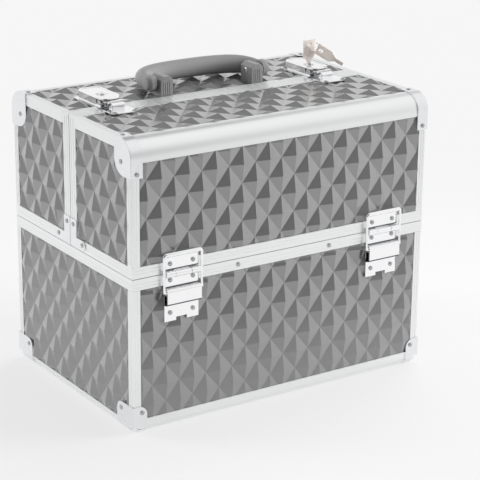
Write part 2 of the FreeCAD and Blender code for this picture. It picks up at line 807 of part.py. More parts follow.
def lever():
    """The cover plate, slotted at the front for the hook, with lugs, two pins and the lock's hole."""
    low_x, high_x = plus(latch_x, "-lever_width / 2"), plus(latch_x, "lever_width / 2")
    low_y, high_y = plus("lever_pivot_y", "-lever_nose"), "lever_rear"
    inset_x = plus(low_x, "lever_corner"), plus(high_x, "-lever_corner")
    inset_y = plus(low_y, "lever_corner"), plus(high_y, "-lever_corner")
    thick = lever_low, lever_high
    long_part = box(inset_x, (low_y, high_y), thick)
    wide_part = box((low_x, high_x), inset_y, thick)
    rounds = [
        cylinder("z", (x, y, lever_low), "lever_corner", "lever_thickness") for x in inset_x for y in inset_y
    ]
    slot = box(
        (plus(latch_x, "-lever_slot_width / 2"), plus(latch_x, "lever_slot_width / 2")),
        (plus(low_y, -1), "lever_slot_end"),
        (plus(lever_low, -1), plus(lever_high, 1)),
    )
    lug_high = plus(wall_inner, "-latch_axial_play")
    lug_low = plus(lug_high, "-lever_lug_thickness")
    lug_parts = []
    for span in ((lug_low, lug_high), (twin(lug_high), twin(lug_low))):
        for y, z in (("lever_pivot_y", lever_pivot_z), (hook_pivot_y, hook_pivot_z)):
            lug_parts.append(cylinder("x", (span[0], y, z), "lever_lug_radius", "lever_lug_thickness"))
            lug_parts.append(
                box(span, (plus(y, "-lever_lug_radius"), plus(y, "lever_lug_radius")), (z, plus(lever_low, 0.5)))
            )
    pivot_pin = cylinder(
        "x", (twin(wall_outer), "lever_pivot_y", lever_pivot_z), "lever_pin_radius", "latch_wall_width"
    )
    hook_pin = cylinder(
        "x", (twin(lug_high), hook_pivot_y, hook_pivot_z), "lever_pin_radius", f"{lug_high} - {twin(lug_high)}"
    )
    lock_hole = cylinder(
        "z",
        (latch_x, "lock_y", plus(lever_low, -1)),
        "lock_radius + running_clearance",
        "lever_thickness + 2",
    )
    return cut(fuse(cut(fuse(long_part, wide_part, *rounds), slot), *lug_parts, pivot_pin, hook_pin), lock_hole)


def hook():
    """A plate curled round the lever's second pin, with a short lip behind the keeper."""
    span = plus(latch_x, "-hook_width / 2"), plus(latch_x, "hook_width / 2")
    high = plus(lever_low, "-lever_wall_gap")
    low = plus(high, "-hook_thickness")
    plate = box(span, ("-hook_front", hook_pivot_y), (low, high))
    lip = box(span, ("-hook_front", "-hook_front + hook_thickness"), (plus(high, "-hook_lip"), high))
    curl = cylinder("x", (span[0], hook_pivot_y, hook_pivot_z), "hook_curl_radius", "hook_width")
    neck = box(span, (plus(hook_pivot_y, "-hook_thickness"), plus(hook_pivot_y, "hook_thickness")), (hook_pivot_z, high))
    bore = cylinder(
        "x",
        (plus(span[0], -1), hook_pivot_y, hook_pivot_z),
        "lever_pin_radius + running_clearance",
        "hook_width + 2",
    )
    return cut(fuse(plate, lip, curl, neck), bore)


# ---- locks and keys ----

lock_top = plus(lever_high, "lock_rise")
lock_floor = plus(lock_top, "-lock_depth")
key_tip_z = plus(lock_floor, "lock_floor")
key_height = "(key_bow_height + key_shoulder_height + key_blade_length)"
key_hole_z = plus(key_tip_z, key_height, "-key_hole_drop")


def locks():
    lock = cylinder("z", (latch_x, "lock_y", lock_floor), "lock_radius", "lock_depth")
    slot_x = "(key_blade_width / 2 + key_slot_gap)"
    slot_y = "(key_thickness / 2 + key_slot_gap)"
    slot = box(
        (plus(latch_x, neg(slot_x)), plus(latch_x, slot_x)),
        (plus("lock_y", neg(slot_y)), plus("lock_y", slot_y)),
        (plus(key_tip_z, "-key_slot_gap"), plus(lock_top, 1)),
    )
    barrel = cut(lock, slot)
    node("lock_barrel_right", barrel)
    node("lock_barrel_left", mirror(barrel, LEFT_RIGHT))


def padded(role, lines, holes, thickness, midplane):
    """A body with one padded sketch: a closed outline and round holes (x, y, radius)."""
    body = doc.addObject("PartDesign::Body", "body")
    plane = next(f for f in body.Origin.OriginFeatures if f.Role == role)
    sketch = body.newObject("Sketcher::SketchObject", "outline")
    sketch.AttachmentSupport = (plane, "")
    sketch.MapMode = "FlatFace"
    circles = [Part.Circle(Vector(x, y, 0), Vector(0, 0, 1), radius) for x, y, radius in holes]
    sketch.addGeometry(lines + circles, False)
    pad = body.newObject("PartDesign::Pad", "pad")
    pad.Profile = sketch
    pad.Midplane = midplane
    pad.setExpression("Length", refs(thickness))
    body.Tip = pad
    return body


def flat_key():
    """A key drawn upright in the XZ plane, with the origin in its hole."""
    bow, blade = num("key_bow_width / 2"), num("key_blade_width / 2")
    high = num("key_hole_drop")
    bow_low = high - num("key_bow_height")
    neck = bow_low - num("key_shoulder_height")
    tip = neck - num("key_blade_length")
    right = [(bow, high), (bow, bow_low), (blade, neck), (blade, tip)]
    points = [Vector(x, z, 0) for x, z in right] + [Vector(-x, z, 0) for x, z in reversed(right)]
    lines = [Part.LineSegment(a, b) for a, b in zip(points, points[1:] + points[:1])]
    return padded("XZ_Plane", lines, [(0, 0, num("key_hole_radius"))], "key_thickness", True)


def keys():
    """One key stands in the right lock; its twin hangs from it on a ring."""
    hole = vec(latch_x, "lock_y", key_hole_z)
    key = flat_key()
    key.Placement = Placement(hole, Rotation())
    node("key", key)

    across = Vector(1, 0, 0)
    lift, turn = math.radians(num("spare_key_lift")), math.radians(num("spare_key_turn"))
    down = Vector(0, -math.sin(lift), -math.cos(lift))
    radius, half_chord = num("key_ring_radius"), num("key_ring_chord / 2")
    centre = hole + across * half_chord + down * math.sqrt(radius**2 - half_chord**2)
    outward = across * math.cos(turn) + down * math.sin(turn)
    axis = across.cross(down)
    spare = flat_key()
    spare.Placement = Placement(centre + outward * radius, Rotation(axis, Vector(), -outward, "ZXY"))
    node("spare_key", spare)
    ring = doc.addObject("Part::Torus", "ring")
    ring.setExpression("Radius1", refs("key_ring_radius"))
    ring.setExpression("Radius2", refs("key_ring_wire"))
    ring.Placement = Placement(centre, Rotation(Vector(0, 0, 1), axis))
    node("key_ring", ring)


# ---- handle ----

handle_x = "(handle_spacing / 2)"
handle_y = "(lids_gap / 2 + strip_width + handle_mount_depth / 2)"
handle_z = plus(top, "handle_pivot_height")
mount_outer = plus(handle_x, "handle_mount_width / 2")
panel_top = plus(top, "-profile_wall")


def handle():
    half_depth = "handle_mount_depth / 2"
    block = box(
        (plus(handle_x, "-handle_mount_width / 2"), mount_outer),
        (plus(handle_y, neg(half_depth)), plus(handle_y, half_depth)),
        (panel_top, plus(top, "handle_mount_height")),
    )
    chamfers = []
    for sign in (-1, 1):
        wedge = doc.addObject("Part::Wedge", "chamfer")
        size = num("handle_mount_chamfer")
        wedge.Xmin, wedge.Ymin, wedge.Zmin = 0, 0, 0
        wedge.Xmax, wedge.Ymax, wedge.Zmax = num("handle_mount_width") + 2, size, size
        wedge.X2min, wedge.X2max, wedge.Z2min, wedge.Z2max = 0, wedge.Xmax, 0, 0
        edge_y = num(plus(handle_y, f"{sign} * ({half_depth})"))
        corner = Vector(num(plus(handle_x, "-handle_mount_width / 2 - 1")), edge_y, num(plus(top, "handle_mount_height")))
        turn = Rotation(Vector(1, 0, 0), 180 if sign == 1 else -90)
        wedge.Placement = Placement(corner, turn)
        chamfers.append(wedge)
    bore = cylinder(
        "x",
        (plus(handle_x, "-handle_mount_width / 2 - 1"), handle_y, handle_z),
        "handle_pin_radius + running_clearance",
        "handle_mount_width + 2",
    )
    node("handle_mounts", pair(cut(block, bore, *chamfers)))
    end_low = plus(mount_outer, "handle_end_play")
    end_high = plus(end_low, "handle_end_width")
    pin = cylinder(
        "x",
        (plus(handle_x, "-handle_mount_width / 2"), handle_y, handle_z),
        "handle_pin_radius",
        f"{end_high} - {handle_x} + handle_mount_width / 2",
    )
    node("handle_pins", pair(pin))
    node("handle_grip", grip(end_low, end_high))


def grip(end_low, end_high):
    """A round bar bent like a wide U, swollen at its middle, with a boss at each end."""
    body = doc.addObject("PartDesign::Body", "grip_body")
    plane = next(f for f in body.Origin.OriginFeatures if f.Role == "XY_Plane")
    path = body.newObject("Sketcher::SketchObject", "grip_path")
    path.AttachmentSupport = (plane, "")
    path.MapMode = "FlatFace"
    half = num(plus(end_low, "handle_end_width / 2"))
    reach, bend = num("grip_reach"), num("grip_bend")
    corner_x, corner_y = half - bend, reach - bend
    up = Part.LineSegment(Vector(-half, 0, 0), Vector(-half, corner_y, 0))
    left = Part.ArcOfCircle(
        Part.Circle(Vector(-corner_x, corner_y, 0), Vector(0, 0, 1), bend), math.pi / 2, math.pi
    )
    across = Part.LineSegment(Vector(-corner_x, reach, 0), Vector(corner_x, reach, 0))
    right = Part.ArcOfCircle(
        Part.Circle(Vector(corner_x, corner_y, 0), Vector(0, 0, 1), bend), 0, math.pi / 2
    )
    down = Part.LineSegment(Vector(half, corner_y, 0), Vector(half, 0, 0))
    path.addGeometry([up, left, across, right, down], False)
    side_plane = next(f for f in body.Origin.OriginFeatures if f.Role == "XZ_Plane")
    section = body.newObject("Sketcher::SketchObject", "grip_section")
    section.AttachmentSupport = (side_plane, "")
    section.MapMode = "FlatFace"
    section.addGeometry(Part.Circle(Vector(-half, 0, 0), Vector(0, 0, 1), num("grip_radius")), False)
    doc.recompute()
    pipe = body.newObject("PartDesign::AdditivePipe", "grip_bar")
    pipe.Profile = section
    pipe.Spine = path
    body.Tip = pipe
    body.Placement = Placement(vec(0, handle_y, handle_z), Rotation())
    swell = grip_swell()
    swell.Placement = Placement(vec(0, plus(handle_y, "grip_reach"), handle_z), Rotation())
    bosses = pair(cylinder("x", (end_low, handle_y, handle_z), "handle_pivot_radius", "handle_end_width"))
    bore = pair(
        cylinder(
            "x",
            (plus(end_low, -30), handle_y, handle_z),
            "handle_pin_radius + running_clearance",
            "handle_end_width + 60",
        )
    )
    trim = pair(
        box(
            (plus(end_low, -30), end_low),
            (plus(handle_y, "-handle_pivot_radius"), plus(handle_y, "handle_mount_depth / 2 + 1")),
            (panel_top, plus(top, "handle_mount_height + 2")),
        )
    )
    return cut(fuse(body, swell, bosses), bore, trim)


def grip_swell():
    """The barrel-shaped middle of the grip, revolved round the bar's centre line."""
    body = doc.addObject("PartDesign::Body", "swell_body")
    plane = next(f for f in body.Origin.OriginFeatures if f.Role == "XY_Plane")
    section = body.newObject("Sketcher::SketchObject", "swell_section")
    section.AttachmentSupport = (plane, "")
    section.MapMode = "FlatFace"
    half = num("grip_swell_length / 2")
    low, high = num("grip_radius - 2 * running_clearance"), num("grip_swell_radius")
    foot_left, foot_right = Vector(-half, 0, 0), Vector(half, 0, 0)
    left, right = Vector(-half, low, 0), Vector(half, low, 0)
    crown = Part.Arc(left, Vector(0, high, 0), right)
    sides = [Part.LineSegment(foot_left, left), Part.LineSegment(right, foot_right)]
    section.addGeometry([crown, *sides, Part.LineSegment(foot_right, foot_left)], False)
    turned = body.newObject("PartDesign::Revolution", "swell")
    turned.Profile = section
    turned.ReferenceAxis = (section, ["H_Axis"])
    turned.Angle = 360
    body.Tip = turned
    return body


# ---- trays and their arms, drawn at the front and mirrored for the rear ----

arm_outer = plus(clear_side, "-arm_wall_gap")      # outer face of the arms
arm_inner = plus(arm_outer, "-arm_thickness")
tray_side = plus(clear_side, "-tray_side_gap")
arm_reach_y = "arm_length * cos(arm_angle)"
arm_reach_z = "arm_length * sin(arm_angle)"
arm_z = plus(middle, "-arm_pivot_drop")


def arm_pivot(share, shift):
    """Centre of a joint on an arm: share 0 is the base's pivot, 1 the upper tray's."""
    y = plus("-tray_split_gap - arm_tray_inset", f"-{shift} * arm_pitch", f"({share} - 1) * {arm_reach_y}")
    z = plus(arm_z, f"{share} * {arm_reach_z}")
    return y, z


def arm(shift):
    """One flat bar with round ends and three pivot holes, at the right."""
    length, half = num("arm_length"), num("arm_width / 2")
    hole = num("arm_pin_radius + running_clearance")
    up = Vector(0, 0, 1)
    lines = [
        Part.LineSegment(Vector(0, half, 0), Vector(length, half, 0)),
        Part.ArcOfCircle(Part.Circle(Vector(length, 0, 0), up, half), -math.pi / 2, math.pi / 2),
        Part.LineSegment(Vector(length, -half, 0), Vector(0, -half, 0)),
        Part.ArcOfCircle(Part.Circle(Vector(0, 0, 0), up, half), math.pi / 2, 3 * math.pi / 2),
    ]
    holes = [(share * length, 0, hole) for share in (0, 0.5, 1)]
    body = padded("YZ_Plane", lines, holes, "arm_thickness", False)
    y, z = arm_pivot(0, shift)
    body.Placement = Placement(vec(arm_inner, y, z), Rotation(Vector(1, 0, 0), num("arm_angle")))
    return body


def arm_pin(y, z, collar_from, collar_to, head_from, shaft_from, shaft_to):
    """A shouldered pivot pin along X: a collar, a shaft through the arm and a head."""
    collar = cylinder("x", (collar_from, y, z), "arm_pin_head_radius", f"{collar_to} - {collar_from}")
    shaft = cylinder("x", (shaft_from, y, z), "arm_pin_radius", f"{shaft_to} - {shaft_from}")
    head = cylinder("x", (head_from, y, z), "arm_pin_head_radius", "arm_pin_head")
    return fuse(collar, shaft, head)


def trays():
    play = "arm_play"
    base_pins = []
    for shift, letter in ((0, "inner"), (1, "outer")):
        front_and_rear(f"tray_arms_{letter}", pair(arm(shift)))
        y, z = arm_pivot(0, shift)
        head = plus(arm_inner, neg(play), "-arm_pin_head")
        base_pins.append(arm_pin(y, z, plus(arm_outer, play), clear_side, head, head, clear_side))
    node("tray_arm_pivots", four(group(*base_pins)))

    lid_y = plus(hinge_y, arm_reach_y)
    lid_z = plus(middle, arm_reach_z)
    collar = cylinder(
        "x",
        (plus(tray_side, play), lid_y, lid_z),
        "arm_pin_head_radius",
        f"{lined_side} - {tray_side} - {play}",
    )
    shaft = cylinder(
        "x", (plus(tray_side, "-tray_wall"), lid_y, lid_z), "arm_pin_radius", f"{lined_side} - {tray_side} + tray_wall"
    )
    front_and_rear("lid_tray_pins", pair(fuse(collar, shaft)))
    for level, share in (("lower", 0.5), ("upper", 1)):
        low = plus(middle, f"{level}_tray_bottom")
        high = plus(low, f"{level}_tray_height")
        y_span = plus(clear_front, f"{level}_tray_front_gap"), neg("tray_split_gap")
        wall = "tray_wall"
        block = box(both(tray_side), y_span, (low, high))
        hollow = box(
            both(plus(tray_side, neg(wall))),
            (plus(y_span[0], wall), plus(y_span[1], neg(wall))),
            (plus(low, wall), plus(high, 1)),
        )
        dividers = [
            box(
                (plus(x, "-divider_thickness / 2"), plus(x, "divider_thickness / 2")),
                y_span,
                (low, plus(high, "-divider_drop")),
            )
            for x in (f"-{tray_side} / 3", f"{tray_side} / 3")
        ]
        pins = []
        for shift in (0, 1):
            y, z = arm_pivot(share, shift)
            pins.append(
                arm_pin(
                    y, z, tray_side, plus(arm_inner, neg(play)), plus(arm_outer, play), tray_side,
                    plus(arm_outer, play, "arm_pin_head"),
                )
            )
        tray = fuse(cut(block, hollow), *dividers, pair(group(*pins)))
        if level == "upper":
            holes = pair(
                cylinder(
                    "x",
                    (plus(tray_side, neg(wall), -1), lid_y, lid_z),
                    "arm_pin_radius + running_clearance",
                    f"{wall} + 2",
                )
            )
            tray = cut(tray, holes)
        front_and_rear(f"{level}_tray", tray)


base_panels()
base_profiles()
foot_caps()
lid_panels()
lid_profiles()
lid_caps()
lid_brackets()
hinges()
fasteners()
latches()
locks()
keys()
handle()
trays()
doc.recompute()

# ---- checks, then one STEP file for each sub-part ----

for obj in doc.Objects:
    if "Invalid" in obj.State or "Error" in obj.State:
        raise RuntimeError(f"{obj.Name} ({obj.Label}) did not build: {obj.State}")
for part in nodes:
    if part.Shape.isNull() or not part.Shape.isValid() or not part.Shape.Solids:
        raise RuntimeError(f"{part.Label} has no valid solid")
for part in nodes:
    part.Shape.exportStep(f"parts/{part.Label}.step")
print(len(nodes), "sub-parts")
for part in nodes:
    limits = part.Shape.BoundBox
    print(
        f"{part.Label:26s} {len(part.Shape.Solids):3d} solids"
        f"  x {limits.XMin:8.2f} {limits.XMax:8.2f}  y {limits.YMin:8.2f} {limits.YMax:8.2f}"
        f"  z {limits.ZMin:8.2f} {limits.ZMax:8.2f}"
    )
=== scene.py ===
import math

import bmesh
import bpy
from mathutils import Matrix, Vector


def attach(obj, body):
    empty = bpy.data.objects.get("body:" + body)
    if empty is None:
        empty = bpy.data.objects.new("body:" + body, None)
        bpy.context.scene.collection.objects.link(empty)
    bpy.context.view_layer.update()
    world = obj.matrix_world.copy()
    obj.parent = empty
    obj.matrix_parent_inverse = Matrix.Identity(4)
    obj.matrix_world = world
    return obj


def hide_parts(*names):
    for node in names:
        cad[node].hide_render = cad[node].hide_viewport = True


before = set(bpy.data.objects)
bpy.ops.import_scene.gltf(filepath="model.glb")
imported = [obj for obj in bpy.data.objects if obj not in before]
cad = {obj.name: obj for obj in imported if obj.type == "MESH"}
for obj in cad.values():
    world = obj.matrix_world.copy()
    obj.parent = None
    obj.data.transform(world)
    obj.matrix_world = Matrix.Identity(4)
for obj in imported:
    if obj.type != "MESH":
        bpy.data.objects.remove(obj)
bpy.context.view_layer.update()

# Makeup storage case with handle. Metres; X is the width, -Y the front, Z up, the floor at z = 0.


# ---- Camera ----
# A long lens from the front left and a little above, as for a catalogue picture.
# It is rolled by half a degree, and moved across and down to place the case in the frame.

aim = Vector((0, 0, 0.135))
azimuth, elevation, roll = math.radians(-33.75), math.radians(18.64), math.radians(0.63)
distance, moved_across, moved_up = 1.7, 0.0202, -0.011
away = Vector(
    (
        math.sin(azimuth) * math.cos(elevation),
        -math.cos(azimuth) * math.cos(elevation),
        math.sin(elevation),
    )
)
sideways = Vector((math.cos(azimuth), math.sin(azimuth), 0))
across = sideways * math.cos(roll) + away.cross(sideways) * math.sin(roll)
upward = away.cross(across)
camera = bpy.data.objects.new("camera", bpy.data.cameras.new("camera"))
camera.data.lens = 133.75
camera.data.clip_end = 20
stand = aim + away * distance + across * moved_across + upward * moved_up
turn = Matrix((across, upward, away)).transposed().to_4x4()
camera.matrix_world = Matrix.Translation(stand) @ turn
bpy.context.scene.collection.objects.link(camera)
bpy.context.scene.camera = camera
bpy.context.scene.view_settings.view_transform = "Standard"


# ---- Floor, backdrop and studio light ----
# Pale paper in a room that is pale all round, with a wide soft box on the right, a low fill behind
# on the left and a top light. Three dark flats give the facets and the metal their shades.


def srgb(code, alpha=1.0):
    """A hex colour as linear light."""
    channels = [int(code[i : i + 2], 16) / 255 for i in (1, 3, 5)]
    return [c / 12.92 if c <= 0.04045 else ((c + 0.055) / 1.055) ** 2.4 for c in channels] + [alpha]


def add(tree, kind, links=None, **settings):
    """A node with its settings; links gives each input a value, an output or a node's first output."""
    made = tree.nodes.new(kind)
    for name, value in settings.items():
        setattr(made, name, value)
    for name, value in (links or {}).items():
        if isinstance(value, bpy.types.Node):
            value = value.outputs[0]
        if isinstance(value, bpy.types.NodeSocket):
            tree.links.new(value, made.inputs[name])
        else:
            made.inputs[name].default_value = value
    return made


def show(obj):
    """Links an object into the scene."""
    bpy.context.scene.collection.objects.link(obj)
    return obj


def studio_room():
    """Pale walls: full strength to reflections and the camera, under half of it as fill light."""
    room = bpy.data.worlds.new("studio room")
    room.use_nodes = True
    tree = room.node_tree
    tree.nodes.clear()
    path = add(tree, "ShaderNodeLightPath")
    way = add(tree, "ShaderNodeTexCoord").outputs["Generated"]
    # Each flat: its direction, the cosines at its soft edge, and how much light is left inside it.
    dark_flats = (
        ((-0.25, -0.955, 0.15), 0.66, 0.88, 0.06),
        ((-0.92, 0.39, 0.0), 0.80, 0.95, 0.45),
        ((0.31, 0.61, 0.73), 0.905, 0.97, 0.42),
    )
    walls = 1.0
    for towards, starts, ends, darkest in dark_flats:
        facing = add(tree, "ShaderNodeVectorMath", {0: way, 1: towards}, operation="DOT_PRODUCT")
        span = {"From Min": starts, "From Max": ends, "To Min": 1.0, "To Max": darkest}
        links = {"Value": facing.outputs["Value"], **span}
        flat = add(tree, "ShaderNodeMapRange", links, interpolation_type="SMOOTHSTEP")
        walls = add(tree, "ShaderNodeMath", {0: flat, 1: walls}, operation="MULTIPLY")
    glossy, diffuse = path.outputs["Is Glossy Ray"], path.outputs["Is Diffuse Ray"]
    straight, through = path.outputs["Is Camera Ray"], path.outputs["Is Transmission Ray"]
    mirror = add(tree, "ShaderNodeMath", {0: glossy, 1: walls}, operation="MULTIPLY")
    fill = add(tree, "ShaderNodeMath", {0: diffuse, 1: 0.45}, operation="MULTIPLY")
    seen = add(tree, "ShaderNodeMath", {0: straight, 1: through}, operation="MAXIMUM")
    lit = add(tree, "ShaderNodeMath", {0: mirror, 1: fill}, operation="MAXIMUM")
    strength = add(tree, "ShaderNodeMath", {0: lit, 1: seen}, operation="MAXIMUM")
    sky = add(tree, "ShaderNodeBackground", {"Color": srgb("#F6F6F6"), "Strength": strength})
    add(tree, "ShaderNodeOutputWorld", {"Surface": sky})
    return room


def pale_paper():
    """Matt paper: it takes the shadow near the case and fades into the even backdrop further out."""
    made = bpy.data.materials.new("matt pale paper")
    made.use_nodes = True
    tree = made.node_tree
    tree.nodes.clear()
    path = add(tree, "ShaderNodeLightPath")
    place = add(tree, "ShaderNodeTexCoord").outputs["Object"]
    far = add(tree, "ShaderNodeVectorMath", {0: place}, operation="LENGTH").outputs["Value"]
    span = {"From Min": 0.22, "From Max": 0.8, "To Min": 0.72, "To Max": 1.0}
    fade = add(tree, "ShaderNodeMapRange", {"Value": far, **span}, interpolation_type="SMOOTHSTEP")
    paper = add(tree, "ShaderNodeBsdfDiffuse", {"Color": srgb("#EFEFEF")})
    glow = add(tree, "ShaderNodeEmission", {"Color": srgb("#F6F6F6"), "Strength": 1.0})
    straight, glossy = path.outputs["Is Camera Ray"], path.outputs["Is Glossy Ray"]
    through = path.outputs["Is Transmission Ray"]
    seen = add(tree, "ShaderNodeMath", {0: straight, 1: glossy}, operation="MAXIMUM")
    any_way = add(tree, "ShaderNodeMath", {0: seen, 1: through}, operation="MAXIMUM")
    share = add(tree, "ShaderNodeMath", {0: any_way, 1: fade}, operation="MULTIPLY")
    mixed = add(tree, "ShaderNodeMixShader", {0: share, 1: paper, 2: glow})
    add(tree, "ShaderNodeOutputMaterial", {"Surface": mixed})
    return made


bpy.context.scene.world = studio_room()

floor_reach = 0.95
floor_mesh = bpy.data.meshes.new("floor")
floor_mesh.from_pydata(
    [(x * floor_reach, y * floor_reach, 0) for x, y in ((-1, -1), (1, -1), (1, 1), (-1, 1))],
    [],
    [(0, 1, 2, 3)],
)
floor_mesh.materials.append(pale_paper())
show(bpy.data.objects.new("floor", floor_mesh))

lit_point = Vector((0, 0, 0.15))
for name, place, wide, tall, watts in (
    ("soft_box_right", (1.7, -0.95, 0.5), 1.1, 1.3, 54),
    ("fill_left", (-1.5, 1.2, 0.45), 0.8, 0.8, 27),
    ("top_light", (0.9, 0.4, 1.9), 1.0, 1.0, 17),
):
    lamp = bpy.data.lights.new(name, "AREA")
    lamp.shape, lamp.size, lamp.size_y, lamp.energy = "RECTANGLE", wide, tall, watts
    holder = show(bpy.data.objects.new(name, lamp))
    holder.visible_glossy = False
    turn = (lit_point - Vector(place)).to_track_quat("-Z", "Y").to_matrix().to_4x4()
    holder.matrix_world = Matrix.Translation(place) @ turn


# ---- Anodised aluminium profiles ----
# Extruded channels and angles, silver anodised after a satin etch, cut to length and riveted.
# They frame every board; the extrusion leaves fine straight lines along each length.


def finish(name, colour, **constants):
    """A new material with its Principled shader; returns the material, its tree and the shader."""
    made = bpy.data.materials.new(name)
    made.use_nodes = True
    tree = made.node_tree
    tree.nodes.clear()
    shader = add(tree, "ShaderNodeBsdfPrincipled", {"Base Color": srgb(colour), **constants})
    add(tree, "ShaderNodeOutputMaterial", {"Surface": shader})
    return made, tree, shader


def worked(tree, shader, relief, strength, depth, gloss=None, smoothest=0.0, roughest=1.0):
    """Raises the surface by one pattern, and lets another vary its roughness between two values."""
    if gloss:
        span = {"Value": gloss, "To Min": smoothest, "To Max": roughest}
        uneven = add(tree, "ShaderNodeMapRange", span)
        tree.links.new(uneven.outputs[0], shader.inputs["Roughness"])
    raised = add(tree, "ShaderNodeBump", {"Height": relief, "Strength": strength, "Distance": depth})
    tree.links.new(raised.outputs[0], shader.inputs["Normal"])


def anodised_aluminium(name, stretch):
    """A soft silver sheen with fine lines, drawn 0.25 mm apart so that they show, coarser than real."""
    made, tree, shader = finish(name, "#F8F9F9", Metallic=1.0, Roughness=0.34)
    place = add(tree, "ShaderNodeTexCoord").outputs["Object"]
    drawn = add(tree, "ShaderNodeMapping", {"Vector": place, "Scale": stretch})
    look = {"Vector": drawn, "Scale": 1.0, "Detail": 3.0, "Roughness": 0.6}
    lines = add(tree, "ShaderNodeTexNoise", look)
    worked(tree, shader, lines, 0.06, 0.0002, lines, 0.27, 0.42)
    return made


level_aluminium = anodised_aluminium("anodised aluminium, level lines", (12, 12, 4000))
upright_aluminium = anodised_aluminium("anodised aluminium, upright lines", (4000, 4000, 12))
crosswise_aluminium = anodised_aluminium("anodised aluminium, lines across the depth", (4000, 12, 4000))
rail_aluminium = anodised_aluminium("anodised aluminium, lines along the width", (12, 4000, 4000))

merge_gap = 1e-6
flat_angle = math.radians(0.5)


def evaluated(rough):
    """The mesh of an object with its modifiers applied; the object itself is removed."""
    bpy.context.view_layer.update()
    depsgraph = bpy.context.evaluated_depsgraph_get()
    done = bpy.data.meshes.new_from_object(rough.evaluated_get(depsgraph))
    bpy.data.objects.remove(rough)
    return done


def mesh_of(shape, name):
    """A shape as a mesh; the shape is let go."""
    mesh = bpy.data.meshes.new(name)
    shape.to_mesh(mesh)
    shape.free()
    return mesh


def shade(shape, sharp_angle):
    """Smooth faces that meet at a crisp edge where they turn by more than sharp_angle."""
    for face in shape.faces:
        face.smooth = True
        face.material_index = 0
    for edge in shape.edges:
        edge.smooth = not (len(edge.link_faces) == 2 and edge.calc_face_angle() > sharp_angle)


def mount(mesh, name, body, node=None):
    """A finished mesh as a piece that rides on a body and may take a CAD node's place."""
    piece = show(bpy.data.objects.new(name, mesh))
    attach(piece, body)
    if node:
        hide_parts(node)
    return piece


def piece_from(shape, name, width, material, body, node=None, segments=2):
    """A piece from a shape, every edge sharper than 32 degrees broken by a bevel of this width."""
    sharp_angle = math.radians(32)
    shade(shape, sharp_angle)
    rough = show(bpy.data.objects.new(name + "_edges", mesh_of(shape, name)))
    broken = rough.modifiers.new("broken edges", "BEVEL")
    broken.width, broken.segments = width, segments
    broken.limit_method, broken.angle_limit = "ANGLE", sharp_angle
    broken.harden_normals = True
    broken.use_clamp_overlap = True
    done = evaluated(rough)
    done.materials.clear()
    done.materials.append(material)
    return mount(done, name, body, node)


def merged_copy(node):
    """A CAD node's loose triangles joined into one shape."""
    shape = bmesh.new()
    shape.from_mesh(cad[node].data)
    bmesh.ops.remove_doubles(shape, verts=shape.verts, dist=merge_gap)
    return shape


def whole_faces(shape):
    """Joins the triangles of each flat face."""
    bmesh.ops.dissolve_limit(shape, angle_limit=flat_angle, verts=shape.verts, edges=shape.edges)
    return shape


def softened(node, name, width, material, body, segments=2):
    """A piece in the CAD node's shape with its edges broken."""
    shape = whole_faces(merged_copy(node))
    return piece_from(shape, name, width, material, body, node, segments)


def loft(shape, rings):
    """A closed skin over rings of points of equal count, with a flat cap at each end."""
    rows = [[shape.verts.new(point) for point in ring] for ring in rings]
    for near, far in zip(rows, rows[1:]):
        for i in range(len(near)):
            j = (i + 1) % len(near)
            shape.faces.new((near[i], near[j], far[j], far[i]))
    shape.faces.new(rows[0][::-1])
    shape.faces.new(rows[-1])
    faces = {face for row in rows for vert in row for face in vert.link_faces}
    bmesh.ops.recalc_face_normals(shape, faces=list(faces))


def prism(shape, outline, low, high, axes="xyz"):
    """An outline of (u, v) points extruded from low to high; axes names the ways of u, v and that."""
    spots = [[dict(zip(axes, (u, v, w))) for u, v in outline] for w in (low, high)]
    loft(shape, [[(spot["x"], spot["y"], spot["z"]) for spot in row] for row in spots])


def rounded(low_u, high_u, low_v, high_v, near, far=None, inset=0.0, steps=6):
    """A rectangle with corners of radius near on its low v side and far on the other."""
    far = near if far is None else far
    smallest = 0.0004
    low_u, high_u, low_v, high_v = low_u + inset, high_u - inset, low_v + inset, high_v - inset
    points = []
    for u, v, radius, start in (
        (high_u, low_v, near, -90),
        (high_u, high_v, far, 0),
        (low_u, high_v, far, 90),
        (low_u, low_v, near, 180),
    ):
        radius = max(radius - inset, smallest)
        middle = (u + (radius if u == low_u else -radius), v + (radius if v == low_v else -radius))
        for step in range(steps + 1):
            turn = math.radians(start + 90 * step / steps)
            points.append((middle[0] + radius * math.cos(turn), middle[1] + radius * math.sin(turn)))
    return points


def circle_turns(sides):
    """Even angles once round a circle."""
    return [2 * math.pi * side / sides for side in range(sides)]


def turned(shape, start, direction, profile, sides=32):
    """A lathed shape: profile lists (distance along the direction, radius)."""
    direction = Vector(direction).normalized()
    first = direction.orthogonal().normalized()
    second = direction.cross(first)
    rings = []
    for along, radius in profile:
        middle = Vector(start) + direction * along
        rings.append(
            [
                middle + (first * math.cos(turn) + second * math.sin(turn)) * radius
                for turn in circle_turns(sides)
            ]
        )
    loft(shape, rings)


